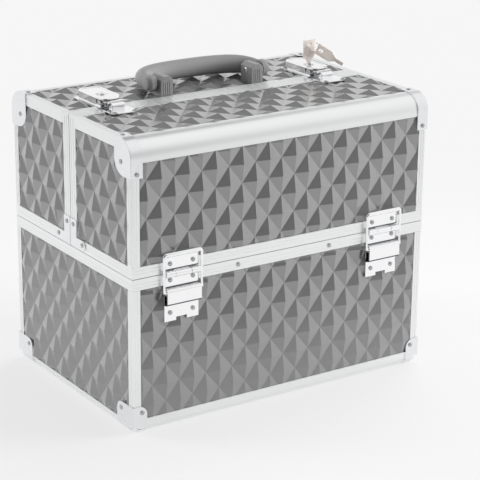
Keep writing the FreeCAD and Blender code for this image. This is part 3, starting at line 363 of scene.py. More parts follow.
for node, name, metal in (
    ("base_rim", "base_rim_channel", level_aluminium),
    ("base_bottom_profile", "base_bottom_channel", level_aluminium),
    ("base_corner_posts", "base_posts", upright_aluminium),
):
    softened(node, name, 0.0004, metal, "case")
edge_angle_bend = 0.2489  # above this height an edge angle runs along the depth, below it upright
for half in ("front", "rear"):
    body = f"{half}_lid"
    for node, name, width, metal in (
        ("rim", "rim_channel", 0.0004, level_aluminium),
        ("top_rail", "rounded_rail", 0.0003, rail_aluminium),
        ("split_frame", "split_channel", 0.0004, rail_aluminium),
    ):
        softened(f"{half}_lid_{node}", f"{half}_{name}", width, metal, body)
    node, name = f"{half}_lid_corner_profiles", f"{half}_edge_angles"
    edges = softened(node, name, 0.0004, crosswise_aluminium, body)
    edges.data.materials.append(upright_aluminium)
    for face in edges.data.polygons:
        face.material_index = 1 if face.center.z < edge_angle_bend else 0


def extruded_lines(name, body, lines):
    """Raised hairlines 0.6 mm wide that the extrusion die leaves along the profiles' faces."""
    line_radius = 0.0003
    shape = bmesh.new()
    for start, end in lines:
        way = Vector(end) - Vector(start)
        turned(shape, start, way, ((0, line_radius), (way.length, line_radius)), 8)
    piece_from(shape, name, 0.00005, level_aluminium, body, segments=1)


# The profiles' outer faces, and the places of the lines on them.
face_x, face_y, top_z = 0.159, 0.109, 0.269
line_end = 0.002
end_x, end_y = face_x - line_end, face_y - line_end
corner_insets, split_insets = (0.0026, 0.0052), (0.0036, 0.0078)
base_heights, lid_rim_heights, lid_top_heights = (0.1384, 0.1412, 0.0048), (0.1506, 0.1536), (0.2622, 0.2654)
base_post = (0.016, 0.134)
lid_foot, lid_post_top, split_post_top = 0.1585, 0.247, 0.267
lid_top_from, lid_top_to = 0.013, 0.094

base_lines = []
for z in base_heights:
    base_lines += [((-end_x, side * face_y, z), (end_x, side * face_y, z)) for side in (-1, 1)]
    base_lines += [((side * face_x, -end_y, z), (side * face_x, end_y, z)) for side in (-1, 1)]
for inset in corner_insets:
    for x_side in (-1, 1):
        for y_side in (-1, 1):
            front_spot = (x_side * (face_x - inset), y_side * face_y)
            side_spot = (x_side * face_x, y_side * (face_y - inset))
            for x, y in (front_spot, side_spot):
                base_lines.append([(x, y, z) for z in base_post])
extruded_lines("base_profile_lines", "case", base_lines)

for half, sign in (("front", -1), ("rear", 1)):
    lines = []
    for z in lid_rim_heights:
        lines.append(((-end_x, sign * face_y, z), (end_x, sign * face_y, z)))
        for side in (-1, 1):
            lines.append(((side * face_x, sign * line_end, z), (side * face_x, sign * end_y, z)))
    for side in (-1, 1):
        for z in lid_top_heights:
            lines.append([(side * face_x, sign * y, z) for y in (lid_top_from, lid_top_to)])
        for inset in corner_insets:
            front_spot = (side * (face_x - inset), sign * face_y)
            side_spot = (side * face_x, sign * (face_y - inset))
            for x, y in (front_spot, side_spot):
                lines.append([(x, y, z) for z in (lid_foot, lid_post_top)])
        for y in split_insets:
            lines.append([(side * face_x, sign * y, z) for z in (lid_foot, split_post_top)])
    for y in split_insets:
        lines.append(((-end_x, sign * y, top_z), (end_x, sign * y, top_z)))
    extruded_lines(f"{half}_profile_lines", f"{half}_lid", lines)


# ---- Embossed boards ----
# Hardboard covered with a grey ABS skin that is hot-embossed with diamond pyramids, 28 by 35 mm.
# The skin is squeezed flat where it slips under the profiles and where fittings are riveted on.

diamond_wide, diamond_tall, diamond_rise = 0.028, 0.0348, 0.0029


def embossed_abs():
    """Moulded ABS, IOR 1.53 and a satin gloss: each facet shows its own even tone."""
    made, tree, shader = finish("embossed ABS skin", "#888889", Metallic=0.45, Roughness=0.24, IOR=1.53)
    shader.inputs["Coat Weight"].default_value = 0.8
    shader.inputs["Coat Roughness"].default_value = 0.16
    place = add(tree, "ShaderNodeTexCoord").outputs["Object"]
    # Fine upright brushing, drawn 0.7 mm apart so that it shows, in strokes 20 mm long.
    brushed = add(tree, "ShaderNodeMapping", {"Vector": place, "Scale": (1500.0, 1500.0, 50.0)})
    grain = add(tree, "ShaderNodeTexNoise", {"Vector": brushed, "Scale": 1.0, "Detail": 2.0})
    cloud = add(tree, "ShaderNodeTexNoise", {"Vector": place, "Scale": 45.0, "Detail": 3.0})
    worked(tree, shader, grain, 0.3, 0.0001, cloud, 0.17, 0.29)
    return made


abs_skin = embossed_abs()


def geometry_tree(name, inputs):
    """A Geometry Nodes tree with named inputs and one result, and what its inputs give."""
    tree = bpy.data.node_groups.new(name, "GeometryNodeTree")
    for label, kind in inputs:
        tree.interface.new_socket(label, in_out="INPUT", socket_type="NodeSocket" + kind)
    tree.interface.new_socket("Geometry", in_out="OUTPUT", socket_type="NodeSocketGeometry")
    return tree, add(tree, "NodeGroupInput").outputs


def grown(tree, mesh, values):
    """What a tree makes from a mesh and its named inputs, as a plain mesh."""
    source = show(bpy.data.objects.new(tree.name, mesh))
    nodes = source.modifiers.new(tree.name, "NODES")
    nodes.node_group = tree
    for socket in tree.interface.items_tree:
        if socket.in_out == "INPUT" and socket.name in values:
            nodes[socket.identifier] = values[socket.name]
    return evaluated(source)


def diamond_tree():
    """Two offset grids of four-sided pyramids, joined into one sheet."""
    inputs = (("Columns", "Int"), ("Rows", "Int"), ("Wide", "Float"), ("Tall", "Float"))
    inputs += (("Rise", "Float"), ("Skin", "Material"))
    tree, given = geometry_tree("diamond sheet", inputs)
    pyramid = {"Vertices": 4, "Radius Top": 0.0, "Radius Bottom": 0.5, "Depth": given["Rise"]}
    cone = add(tree, "GeometryNodeMeshCone", pyramid, fill_type="NONE")
    size = add(tree, "ShaderNodeCombineXYZ", {"X": given["Wide"], "Y": given["Tall"], "Z": 1.0})
    diamond = add(tree, "GeometryNodeTransform", {"Geometry": cone, "Scale": size})
    span_x = add(tree, "ShaderNodeMath", {0: given["Columns"], 1: given["Wide"]}, operation="MULTIPLY")
    span_y = add(tree, "ShaderNodeMath", {0: given["Rows"], 1: given["Tall"]}, operation="MULTIPLY")
    more_x = add(tree, "ShaderNodeMath", {0: given["Columns"], 1: 1.0}, operation="ADD")
    more_y = add(tree, "ShaderNodeMath", {0: given["Rows"], 1: 1.0}, operation="ADD")
    spans = {"Size X": span_x, "Size Y": span_y, "Vertices X": more_x, "Vertices Y": more_y}
    grid = add(tree, "GeometryNodeMeshGrid", spans)
    half_step = add(tree, "ShaderNodeVectorMath", {0: size, 1: (0.5, 0.5, 0.0)}, operation="MULTIPLY")
    offset = add(tree, "GeometryNodeTransform", {"Geometry": grid, "Translation": half_step})
    both = add(tree, "GeometryNodeJoinGeometry")
    tree.links.new(grid.outputs[0], both.inputs[0])
    tree.links.new(offset.outputs[0], both.inputs[0])
    placed = add(tree, "GeometryNodeInstanceOnPoints", {"Points": both, "Instance": diamond})
    real = add(tree, "GeometryNodeRealizeInstances", {"Geometry": placed})
    welded = add(tree, "GeometryNodeMergeByDistance", {"Geometry": real, "Distance": 0.00002})
    painted = add(tree, "GeometryNodeSetMaterial", {"Geometry": welded, "Material": given["Skin"]})
    add(tree, "NodeGroupOutput", {"Geometry": painted})
    return tree


# One sheet, centred on a diamond's middle in the XY plane and larger than any board.
sizes = {"Columns": 14, "Rows": 8, "Wide": diamond_wide, "Tall": diamond_tall, "Rise": diamond_rise}
empty_mesh = bpy.data.meshes.new("diamond_source")
diamond_sheet = grown(diamond_tree(), empty_mesh, {**sizes, "Skin": abs_skin})

# Where fittings are riveted on, the skin is pressed down. Each zone spans |x|, |y| and z.
pressed_height = 0.0019
pressed_zones = (
    ((0.0925, 0.1275), (0.1, 0.12), (0.1017, 0.161)),  # hinges
    ((0.1015, 0.1285), (0.0, 0.048), (0.26, 0.28)),  # latches and keepers
    ((0.15, 0.17), (0.082, 0.12), (0.236, 0.28)),  # upper corner caps, on the sides
    ((0.146, 0.17), (0.1, 0.12), (0.236, 0.28)),  # the same, on the front and rear
    ((0.148, 0.17), (0.082, 0.1), (0.26, 0.28)),  # the same, on the top
    ((0.15, 0.17), (0.0, 0.0273), (0.1475, 0.1735)),  # side brackets
    ((0.15, 0.17), (0.083, 0.12), (0.0, 0.027)),  # foot caps, on the sides
    ((0.145, 0.17), (0.1, 0.12), (0.0, 0.027)),  # the same, on the front and rear
)


def slice_through(shape, point, normal, drop_outside=False):
    """New edges where a plane crosses the shape; what lies outside it may be dropped."""
    everything = shape.verts[:] + shape.edges[:] + shape.faces[:]
    bmesh.ops.bisect_plane(
        shape, geom=everything, plane_co=point, plane_no=normal, clear_outer=drop_outside, dist=1e-7
    )


def press_down(shape, corner, out):
    """Lowers the pyramids that lie under a fitting; a cut just inside its edge keeps the rest."""
    wall, well_inside = 0.0003, 0.00029
    flat = max(range(3), key=lambda axis: abs(out[axis]))
    low = [min(abs(vert.co[axis]) for vert in shape.verts) for axis in range(3)]
    high = [max(abs(vert.co[axis]) for vert in shape.verts) for axis in range(3)]
    for zone in pressed_zones:
        if any(zone[axis][0] > high[axis] or zone[axis][1] < low[axis] for axis in range(3)):
            continue
        ways = [axis for axis in range(3) if axis != flat]
        for axis in ways:
            starts, ends = zone[axis]
            for value in (starts, starts + wall, ends - wall, ends):
                for side in (-1, 1):
                    point, normal = Vector((0, 0, 0)), Vector((0, 0, 0))
                    point[axis], normal[axis] = side * value, 1.0
                    slice_through(shape, point, normal)
        for vert in shape.verts:
            height = (vert.co - corner).dot(out)
            inside = all(
                zone[axis][0] + well_inside < abs(vert.co[axis]) < zone[axis][1] - well_inside
                for axis in ways
            )
            if inside and height > pressed_height:
                vert.co -= out * (height - pressed_height)


def skin(name, body, corner, right, upright, width, height, phase):
    """One embossed skin: its lower left corner, two directions, size and the lattice's offset."""
    squeezed_band, squeezed_rise = 0.0016, 0.0009
    foot, proud = -0.0004, 0.00008
    shape = bmesh.new()
    shape.from_mesh(diamond_sheet)
    low = min(vert.co.z for vert in shape.verts)
    middle = (
        round(width / 2 / diamond_wide) * diamond_wide + phase[0] % diamond_wide,
        round(height / 2 / diamond_tall) * diamond_tall + phase[1] % diamond_tall,
    )
    for vert in shape.verts:
        vert.co = Vector((vert.co.x + middle[0], vert.co.y + middle[1], vert.co.z - low))
    for inset, drop_outside in ((squeezed_band, False), (0, True)):
        for point, normal in (
            ((inset, 0, 0), (-1, 0, 0)),
            ((width - inset, 0, 0), (1, 0, 0)),
            ((0, inset, 0), (0, -1, 0)),
            ((0, height - inset, 0), (0, 1, 0)),
        ):
            slice_through(shape, point, normal, drop_outside)
    for vert in shape.verts:
        edge_gap = min(vert.co.x, width - vert.co.x, vert.co.y, height - vert.co.y)
        if edge_gap < 1e-5:
            vert.co.z = min(vert.co.z, squeezed_rise)
    # The cut edge turns down in a short skirt, made in one order so that every run gives one mesh.
    feet = {}
    for near, far in [edge.verts for edge in shape.edges if edge.is_boundary]:
        for vert in (near, far):
            if vert not in feet:
                feet[vert] = shape.verts.new((vert.co.x, vert.co.y, foot))
        shape.faces.new((near, far, feet[far], feet[near]))
    out = right.cross(upright)
    basis = Matrix((right, upright, out)).transposed().to_4x4()
    shape.transform(Matrix.Translation(corner + out * proud) @ basis)
    press_down(shape, corner, out)
    bmesh.ops.remove_doubles(shape, verts=shape.verts, dist=merge_gap)
    bmesh.ops.recalc_face_normals(shape, faces=shape.faces)
    largest = max(shape.faces, key=lambda face: face.calc_area())
    if largest.normal.dot(out) < 0:
        bmesh.ops.reverse_faces(shape, faces=shape.faces)
    for face in shape.faces:
        face.smooth = True
    mesh = mesh_of(shape, name)
    mesh.materials.append(abs_skin)
    pressed = show(bpy.data.objects.new(name + "_pressed", mesh))
    soft = pressed.modifiers.new("soft ridges", "BEVEL")
    soft.width, soft.segments = 0.0006, 2
    soft.limit_method, soft.angle_limit = "ANGLE", math.radians(6)
    soft.harden_normals = True
    mount(evaluated(pressed), name, body)


to_right, to_left = Vector((1, 0, 0)), Vector((-1, 0, 0))
to_front, to_rear = Vector((0, -1, 0)), Vector((0, 1, 0))
up = Vector((0, 0, 1))
# The boards' outer faces, their ends and sizes, and the heights between the profiles.
front_plane, side_plane, top_plane = 0.1078, 0.1578, 0.2678
long_end, side_end, top_end, split_end, rail_end = 0.151, 0.101, 0.152, 0.0114, 0.089
long_width, side_width, half_side_width, top_width, top_depth = 0.302, 0.202, 0.0896, 0.304, 0.0776
base_low, base_side_low, base_high = 0.0142, 0.01, 0.1355
lid_low, lid_high, lid_side_high = 0.1568, 0.249, 0.2585
long_height, side_height = base_high - base_low, base_high - base_side_low
plain_phase = (0.003, 0.0)
for name, corner, right, width, height, phase in (
    ("front", (-long_end, -front_plane, base_low), to_right, long_width, long_height, (0.012, 0.0121)),
    ("rear", (long_end, front_plane, base_low), to_left, long_width, long_height, (0.006, 0.0)),
    ("left", (-side_plane, side_end, base_side_low), to_front, side_width, side_height, (0.0085, 0.0215)),
    ("right", (side_plane, -side_end, base_side_low), to_rear, side_width, side_height, plain_phase),
):
    skin(f"base_{name}_skin", "case", Vector(corner), right, up, width, height, phase)
for half, sign in (("front", -1), ("rear", 1)):
    body = f"{half}_lid"
    right = to_right if sign < 0 else to_left
    corner = Vector((sign * long_end, sign * front_plane, lid_low))
    skin(f"{half}_wall_skin", body, corner, right, up, long_width, lid_high - lid_low, (0.021, 0.0065))
    inner, outer = sign * split_end, sign * side_end
    height = lid_side_high - lid_low
    for side, corner, right in (
        ("left", Vector((-side_plane, max(inner, outer), lid_low)), to_front),
        ("right", Vector((side_plane, min(inner, outer), lid_low)), to_rear),
    ):
        skin(f"{half}_{side}_skin", body, corner, right, up, half_side_width, height, plain_phase)
    corner = Vector((-top_end, min(inner, sign * rail_end), top_plane))
    skin(f"{half}_top_skin", body, corner, to_right, to_rear, top_width, top_depth, (0.006, 0.0))


def paint(nodes, material):
    """Gives a material to CAD nodes that are shown in their own shape."""
    for node in nodes:
        cad[node].data.materials.clear()
        cad[node].data.materials.append(material)


for part in ("base", "front_lid", "rear_lid"):
    paint((f"{part}_long_panels", f"{part}_side_panels"), abs_skin)


# ---- Lining and floor board ----
# A thin dark foam sheet glued inside the boards, and the plain hardboard floor under it.
# Foam has a matt, finely pitted face.


def foam_lining():
    """EVA foam: IOR 1.45, very rough, with cells about 0.4 mm across."""
    made, tree, shader = finish("EVA foam lining", "#3A3A3C", Roughness=0.9, IOR=1.45)
    place = add(tree, "ShaderNodeTexCoord").outputs["Object"]
    cells = add(tree, "ShaderNodeTexVoronoi", {"Vector": place, "Scale": 2500.0})
    worked(tree, shader, cells, 0.25, 0.0002)
    return made


def painted_board():
    """Hardboard with a thin grey coat; its fibres, 1.4 mm long, show through a little."""
    made, tree, shader = finish("painted hardboard", "#4B4B4D", Roughness=0.7, IOR=1.5)
    place = add(tree, "ShaderNodeTexCoord").outputs["Object"]
    fibres = add(tree, "ShaderNodeTexNoise", {"Vector": place, "Scale": 700.0, "Detail": 4.0})
    worked(tree, shader, fibres, 0.2, 0.0002)
    return made


paint(("base_lining", "front_lid_lining", "rear_lid_lining"), foam_lining())
paint(("base_floor_panel",), painted_board())


# ---- Corner caps and brackets ----
# Pressed from 1 mm steel sheet, nickel-chrome plated, and riveted over the profiles' joints.
# Pressing rounds every edge.


def plated_steel(name, roughness, colour="#F2F3F5"):
    """Nickel-chrome plate: bright and slightly cool; the pressed sheet under it is a little wavy."""
    made, tree, shader = finish(name, colour, Metallic=1.0, Roughness=roughness)
    place = add(tree, "ShaderNodeTexCoord").outputs["Object"]
    waves = add(tree, "ShaderNodeTexNoise", {"Vector": place, "Scale": 60.0, "Detail": 1.0})
    worked(tree, shader, waves, 0.05, 0.0003, waves, roughness - 0.04, roughness + 0.07)
    return made


cap_plate = plated_steel("nickel plated pressed steel", 0.26)
softened("base_corner_caps", "foot_caps", 0.0006, cap_plate, "case")
for half in ("front", "rear"):
    for fitting in ("corner_caps", "brackets"):
        node, name = f"{half}_lid_{fitting}", f"{half}_{fitting}"
        softened(node, name, 0.0004, cap_plate, f"{half}_lid")


# ---- Hinges and bails ----
# Bright plated sheet steel, rolled into knuckles round a steel pin, with a hood over a wire bail.
# The bail is bent from one rod, flattened along its top, and swings out as the lid half opens.

hinge_plate = plated_steel("bright chrome plated steel", 0.16, "#FCFCFD")
# A dark grey steel that is painted into the hinges' creases as shade.
crease_shade_steel = plated_steel("thinly plated bend", 0.4, "#68696B")
hinge_x, bail_y, bail_foot, bail_crown, bail_half = 0.11, 0.1128, 0.13, 0.164, 0.01925


def bail_rings(middle, y, foot, crown, half_span):
    """Rings along an arch of wire: flared feet, straight legs, round corners and a flattened bar."""
    bend, bend_steps, sides = 0.0024, 8, 16
    round_wire, extra_wide, flat_thick = 0.00125, 0.00065, 0.001
    # Height above the foot and thickness of the wire along a leg.
    leg = ((-0.0006, 0.0016), (0.0008, 0.0018), (0.005, flat_thick))
    path = [(-half_span, foot + rise, round_wire, thick) for rise, thick in leg]
    for side, start in ((-1, 180), (1, 90)):
        for step in range(bend_steps + 1):
            turn = math.radians(start - 90 * step / bend_steps)
            share = step / bend_steps if side < 0 else 1 - step / bend_steps
            x = side * (half_span - bend) + bend * math.cos(turn)
            z = crown - bend + bend * math.sin(turn)
            path.append((x, z, round_wire + extra_wide * share, flat_thick))
    path += [(half_span, foot + rise, round_wire, thick) for rise, thick in leg[::-1]]
    rings = []
    for step, (x, z, wide, thick) in enumerate(path):
        near, far = path[max(step - 1, 0)], path[min(step + 1, len(path) - 1)]
        ahead = Vector((far[0] - near[0], 0, far[1] - near[1])).normalized()
        side = ahead.cross(to_rear)
        spot = Vector((middle + x, y, z))
        rings.append(
            [
                spot + side * wide * math.cos(turn) + Vector((0, thick, 0)) * math.sin(turn)
                for turn in circle_turns(sides)
            ]
        )
    return rings


def with_crease_shade(node, name, body, painted_shade_bands, raised=0.0):
    """A hinge piece with shade painted into its creases: the faces inside bands of z and |y| take the dark
    steel.
    """
    hood_y, lip_low, lip_high = 0.1156, 0.1165, 0.1172
    shape = whole_faces(merged_copy(node))
    for vert in shape.verts:
        if abs(vert.co.y) > hood_y and lip_low < vert.co.z < lip_high:
            vert.co.z += raised
    for heights, _ in painted_shade_bands:
        for z in heights:
            slice_through(shape, (0, 0, z), (0, 0, 1))
    piece = piece_from(shape, name, 0.0004, hinge_plate, body, node, 3)
    piece.data.materials.append(crease_shade_steel)
    # The faces inside each band take the dark steel as painted shade.
    for face in piece.data.polygons:
        for (low_z, high_z), (near_y, far_y) in painted_shade_bands:
            if low_z < face.center.z < high_z and near_y < abs(face.center.y) < far_y:
                face.material_index = 1


# The hood's lower edge is bent back to the plate. Each band, (z from, to) and (|y| from, to), is painted
# shade: under the hood's lower edge and just above the roll on the plates, and under the lower edge on the
# leaves.
plate_crease_shade = (((0.116, 0.1196), (0.1108, 0.1154)), ((0.1329, 0.1342), (0.11, 0.1106)))
leaf_crease_shade = (((0.1491, 0.1503), (0.1095, 0.1106)),)
with_crease_shade("hinge_plates", "hinge_lower_plates", "case", plate_crease_shade, raised=0.0029)
for half, sign in (("front", -1), ("rear", 1)):
    with_crease_shade(f"{half}_hinge_leaves", f"{half}_hinge_upper_leaves", f"{half}_lid", leaf_crease_shade)
    shape = bmesh.new()
    for middle in (-hinge_x, hinge_x):
        loft(shape, bail_rings(middle, sign * bail_y, bail_foot, bail_crown, bail_half))
        for side in (-1, 1):
            foot = (middle + side * 0.012, sign * bail_y, bail_foot)
            turned(shape, foot, (side, 0, 0), ((0, 0.0016), (0.0068, 0.0016)), 20)
    name, node = f"{half}_wire_bails", f"{half}_hinge_bails"
    piece_from(shape, name, 0.0002, hinge_plate, f"{half}_bails", node)
softened("hinge_pins", "hinge_pin_rods", 0.0003, hinge_plate, "case")


# ---- Rivets and screws ----
# Zinc plated steel rivets with a flat rim and a domed middle; the latches have cross-head screws.
# One head of each kind is modelled and set on every seat.

rivet_steel = plated_steel("zinc plated rivet steel", 0.24, "#C3C4C7")


def islands(shape):
    """The points of each connected part of a shape."""
    left, found = set(shape.verts), []
    while left:
        reached, island = [left.pop()], []
        while reached:
            vert = reached.pop()
            island.append(vert.co)
            for edge in vert.link_edges:
                other = edge.other_vert(vert)
                if other in left:
                    left.remove(other)
                    reached.append(other)
        found.append(island)
    return found


def head_seats(node, thick):
    """The seats of a CAD node's heads of one thickness: (middle of the foot, way out) of each."""
    shape = merged_copy(node)
    seats = []
    for island in islands(shape):
        low = Vector([min(point[axis] for point in island) for axis in range(3)])
        high = Vector([max(point[axis] for point in island) for axis in range(3)])
        sizes = high - low
        axis = min(range(3), key=lambda way: sizes[way])
        if abs(sizes[axis] - thick) > 2e-5:
            continue
        middle = (low + high) / 2
        out = Vector((0, 0, 0))
        out[axis] = -1.0 if middle[axis] < 0 else 1.0
        seats.append((middle - out * thick / 2, out))
    shape.free()
    return sorted(seats, key=lambda seat: tuple(round(value, 6) for value in seat[0]))


def head_tree():
    """One head on every seat, its Z along the seat's way out."""
    inputs = (("Seats", "Geometry"), ("Head", "Object"), ("Metal", "Material"))
    tree, given = geometry_tree("heads on seats", inputs)
    out = add(tree, "GeometryNodeInputNamedAttribute", {"Name": "out"}, data_type="FLOAT_VECTOR")
    turn = add(tree, "FunctionNodeAlignRotationToVector", {"Vector": out.outputs["Attribute"]}, axis="Z")
    head = add(tree, "GeometryNodeObjectInfo", {"Object": given["Head"]})
    spread = {"Points": given["Seats"], "Instance": head.outputs["Geometry"], "Rotation": turn}
    placed = add(tree, "GeometryNodeInstanceOnPoints", spread)
    real = add(tree, "GeometryNodeRealizeInstances", {"Geometry": placed})
    painted = add(tree, "GeometryNodeSetMaterial", {"Geometry": real, "Material": given["Metal"]})
    add(tree, "NodeGroupOutput", {"Geometry": painted})
    return tree


heads_on_seats = head_tree()


def head_object(name, profile, recess=0.0):
    """A lathed head; a recess cuts a cross of that depth into its top."""
    shape = bmesh.new()
    turned(shape, (0, 0, 0), (0, 0, 1), profile, 24)
    shade(shape, math.radians(40))
    head = show(bpy.data.objects.new(name, mesh_of(shape, name)))
    if recess:
        arm, half, top = 0.0012, 0.00028, profile[-1][0]
        plan = [(arm, -half), (arm, half), (half, half), (half, arm), (-half, arm), (-half, half)]
        plan += [(-x, -y) for x, y in plan]
        cross = bmesh.new()
        prism(cross, plan, top - recess, top + 0.001)
        cutter = show(bpy.data.objects.new(name + "_cross", mesh_of(cross, name + "_cross")))
        slot = head.modifiers.new("cross recess", "BOOLEAN")
        slot.operation, slot.object, slot.solver = "DIFFERENCE", cutter, "EXACT"
        head = show(bpy.data.objects.new(name, evaluated(head)))
        bpy.data.objects.remove(cutter)
    return head


# Each profile lists (height, radius) from the foot up; a head is as thick as its last height.
rivet_profile = ((0, 0.0019), (0.00015, 0.0019), (0.0002, 0.0022), (0.0004, 0.0022), (0.00045, 0.0017))
rivet_profile += ((0.0003, 0.0016), (0.00065, 0.0013), (0.0009, 0.0008), (0.001, 0.0002))
screw_profile = ((0, 0.0026), (0.00025, 0.0026), (0.0005, 0.0023))
screw_profile += ((0.00075, 0.0016), (0.00088, 0.0007), (0.0009, 0.0002))
rivet_head = head_object("rivet_head", rivet_profile)
screw_head = head_object("screw_head", screw_profile, recess=0.0005)


def heads(name, body, node):
    """All the rivet and screw heads of one CAD node as one piece."""
    joined = bmesh.new()
    for head, profile in ((rivet_head, rivet_profile), (screw_head, screw_profile)):
        seats = head_seats(node, profile[-1][0])
        if not seats:
            continue
        points = bpy.data.meshes.new(name + "_seats")
        points.from_pydata([seat for seat, out in seats], [], [])
        ways = points.attributes.new("out", "FLOAT_VECTOR", "POINT")
        for number, (seat, out) in enumerate(seats):
            ways.data[number].vector = out
        joined.from_mesh(grown(heads_on_seats, points, {"Head": head, "Metal": rivet_steel}))
    done = mesh_of(joined, name)
    done.materials.append(rivet_steel)
    mount(done, name, body, node)


heads("base_rivet_heads", "case", "base_rivets")
heads("front_rivet_heads", "front_lid", "front_lid_fasteners")
heads("rear_rivet_heads", "rear_lid", "rear_lid_fasteners")
for head in (rivet_head, screw_head):
    bpy.data.objects.remove(head)


# ---- Latches ----
# Draw latches of plated sheet steel: a channel on the rear half, a dished cover on a pin, a hook
# under the cover and a keeper on the front half. Every piece is pressed, so its edges are round.

latch_x = 0.115
softened("latch_bases", "latch_base_plates", 0.0004, hinge_plate, "rear_lid")

# The pins that the cover and the hook turn on, each (y, z), and the pins' radius.
cover_pin, hook_pin, pin_radius = (0.0032, 0.2736), (0.0088, 0.2728), 0.0012
cover_half, cover_front, cover_rear = 0.012, -0.001, 0.046


def cover_outline(middle, inset):
    """The cover seen from above, with wide curves at its front corners and tighter ones behind."""
    low, high = middle - cover_half, middle + cover_half
    return rounded(low, high, cover_front, cover_rear, 0.01, 0.0075, inset, 10)


def latch_cover(middle):
    """A dished plate with a skirt on three sides, two lugs, their pins and the lock's rosette."""
    shape = bmesh.new()
    skirt_low, skirt_high, skirt_thick = 0.2716, 0.2772, 0.0011
    lug_radius, web_half, web_top = 0.0024, 0.0022, 0.277
    # From the underside's edge round to the dish: (inset, z).
    section = ((0.0006, 0.2764), (0.0, 0.2768), (0.0, 0.2776))
    section += ((0.0007, 0.2784), (0.0017, 0.2784), (0.0023, 0.2779))
    loft(shape, [[(x, y, z) for x, y in cover_outline(middle, inset)] for inset, z in section])
    outside, inside = [
        [(x, y) for x, y in cover_outline(middle, inset) if y > hook_pin[0]]
        for inset in (0.0, skirt_thick)
    ]
    prism(shape, outside + inside[::-1], skirt_low, skirt_high)
    for lug in (-1, 1):
        low, high = sorted((middle + lug * 0.0075, middle + lug * 0.009))
        for y, z in (cover_pin, hook_pin):
            turned(shape, (low, y, z), (1, 0, 0), ((0, lug_radius), (high - low, lug_radius)), 24)
            front, rear = y - web_half, y + web_half
            web = ((front, z), (rear, z), (rear, web_top), (front, web_top))
            prism(shape, web, low, high, "yzx")
    for (y, z), reach in ((cover_pin, 0.0105), (hook_pin, 0.0088)):
        turned(shape, (middle - reach, y, z), (1, 0, 0), ((0, pin_radius), (2 * reach, pin_radius)), 24)
    rosette = ((0, 0.0066), (0.0006, 0.0064), (0.0008, 0.006), (0.0008, 0.0055))
    turned(shape, (middle, 0.019, 0.2776), (0, 0, 1), rosette, 40)
    return shape


def latch_hook(middle):
    """A T-shaped strip: a wide lip that drops behind the keeper, and a knuckle round the hook's pin."""
    shape = bmesh.new()
    wide, slim, front, neck, rear = 0.0098, 0.007, -0.005, -0.0014, hook_pin[0]
    plan = ((-wide, front), (wide, front), (wide, neck), (slim, neck), (slim, rear))
    plan += ((-slim, rear), (-slim, neck), (-wide, neck))
    prism(shape, [(middle + x, y) for x, y in plan], 0.2751, 0.2761)
    lip = ((-0.005, 0.2756), (-0.005, 0.2722), (-0.0046, 0.2718), (-0.004, 0.2722), (-0.004, 0.2756))
    prism(shape, lip, middle - wide, middle + wide, "yzx")
    turned(shape, (middle - slim, rear, 0.2741), (1, 0, 0), ((0, 0.0019), (2 * slim, 0.0019)), 24)
    return shape


for side, sign in (("right", 1), ("left", -1)):
    middle = sign * latch_x
    name, node = f"latch_cover_{side}", f"latch_lever_{side}"
    shape = latch_cover(middle)
    piece_from(shape, name, 0.00015, hinge_plate, f"{side}_latch", node)
    name, node = f"latch_hook_plate_{side}", f"latch_hook_{side}"
    shape = latch_hook(middle)
    piece_from(shape, name, 0.0003, hinge_plate, f"{side}_hook", node)
softened("lock_barrel_right", "lock_plug_right", 0.0003, hinge_plate, "right_lock")
softened("lock_barrel_left", "lock_plug_left", 0.0003, hinge_plate, "left_latch")

# The keepers: a plate with a rolled stop that the hook's lip catches.
shape = bmesh.new()
bar_y, bar_z, bar_radius, bar_steps = -0.0091, 0.2733, 0.0029, 10
stop = [(-0.012, 0.2698), (-0.0062, 0.2698)]
for step in range(bar_steps + 1):
    turn = math.pi * step / bar_steps
    stop.append((bar_y + bar_radius * math.cos(turn), bar_z + bar_radius * math.sin(turn)))
for sign in (-1, 1):
    middle = sign * latch_x
    plate = rounded(middle - 0.0135, middle + 0.0135, -0.0255, -0.0062, 0.006, 0.0015)
    prism(shape, plate, 0.269, 0.2702)
    prism(shape, stop, middle - 0.0065, middle + 0.0065, "yzx")
piece_from(shape, "latch_keeper_plates", 0.0004, hinge_plate, "front_lid", "latch_keepers")


# ---- Keys ----
# Two flat keys stamped from nickel silver sheet, tumbled to a soft shine, on a ring of spring wire.
# Each key has its own shape from the CAD; the ring is shown as it is.


def stamped_key_metal():
    """Tumbled nickel silver: fine random marks about 0.5 mm across in a warm pale grey."""
    made, tree, shader = finish("stamped nickel silver", "#F3EAE3", Metallic=0.6, Roughness=0.42)
    place = add(tree, "ShaderNodeTexCoord").outputs["Object"]
    marks = add(tree, "ShaderNodeTexNoise", {"Vector": place, "Scale": 1800.0, "Detail": 2.0})
    worked(tree, shader, marks, 0.08, 0.0001, marks, 0.36, 0.52)
    return made


key_metal = stamped_key_metal()
softened("key", "lock_key", 0.0003, key_metal, "right_lock", 3)
softened("spare_key", "spare_lock_key", 0.0003, key_metal, "spare_key", 3)
paint(("key_ring",), key_metal)


# ---- Handle ----
# A swelling bar of soft moulded plastic bent into a wide U; each arm ends in a stepped boss that
# turns on a steel pin through a chamfered block. The mould was fine-grained all over.


def moulded_plastic():
    """Soft PVC, IOR 1.5: a leather-fine grain about 0.6 mm across spreads the highlight."""
    made, tree, shader = finish("soft moulded PVC", "#8B8B8C", Roughness=0.4, IOR=1.5)
    place = add(tree, "ShaderNodeTexCoord").outputs["Object"]
    grain = add(tree, "ShaderNodeTexNoise", {"Vector": place, "Scale": 1600.0, "Detail": 2.0})
    cloud = add(tree, "ShaderNodeTexNoise", {"Vector": place, "Scale": 60.0, "Detail": 2.0})
    worked(tree, shader, grain, 0.12, 0.0001, cloud, 0.34, 0.46)
    return made


def signed_power(value, power):
    """A power of the value's size, with its sign kept."""
    return math.copysign(abs(value) ** power, value)


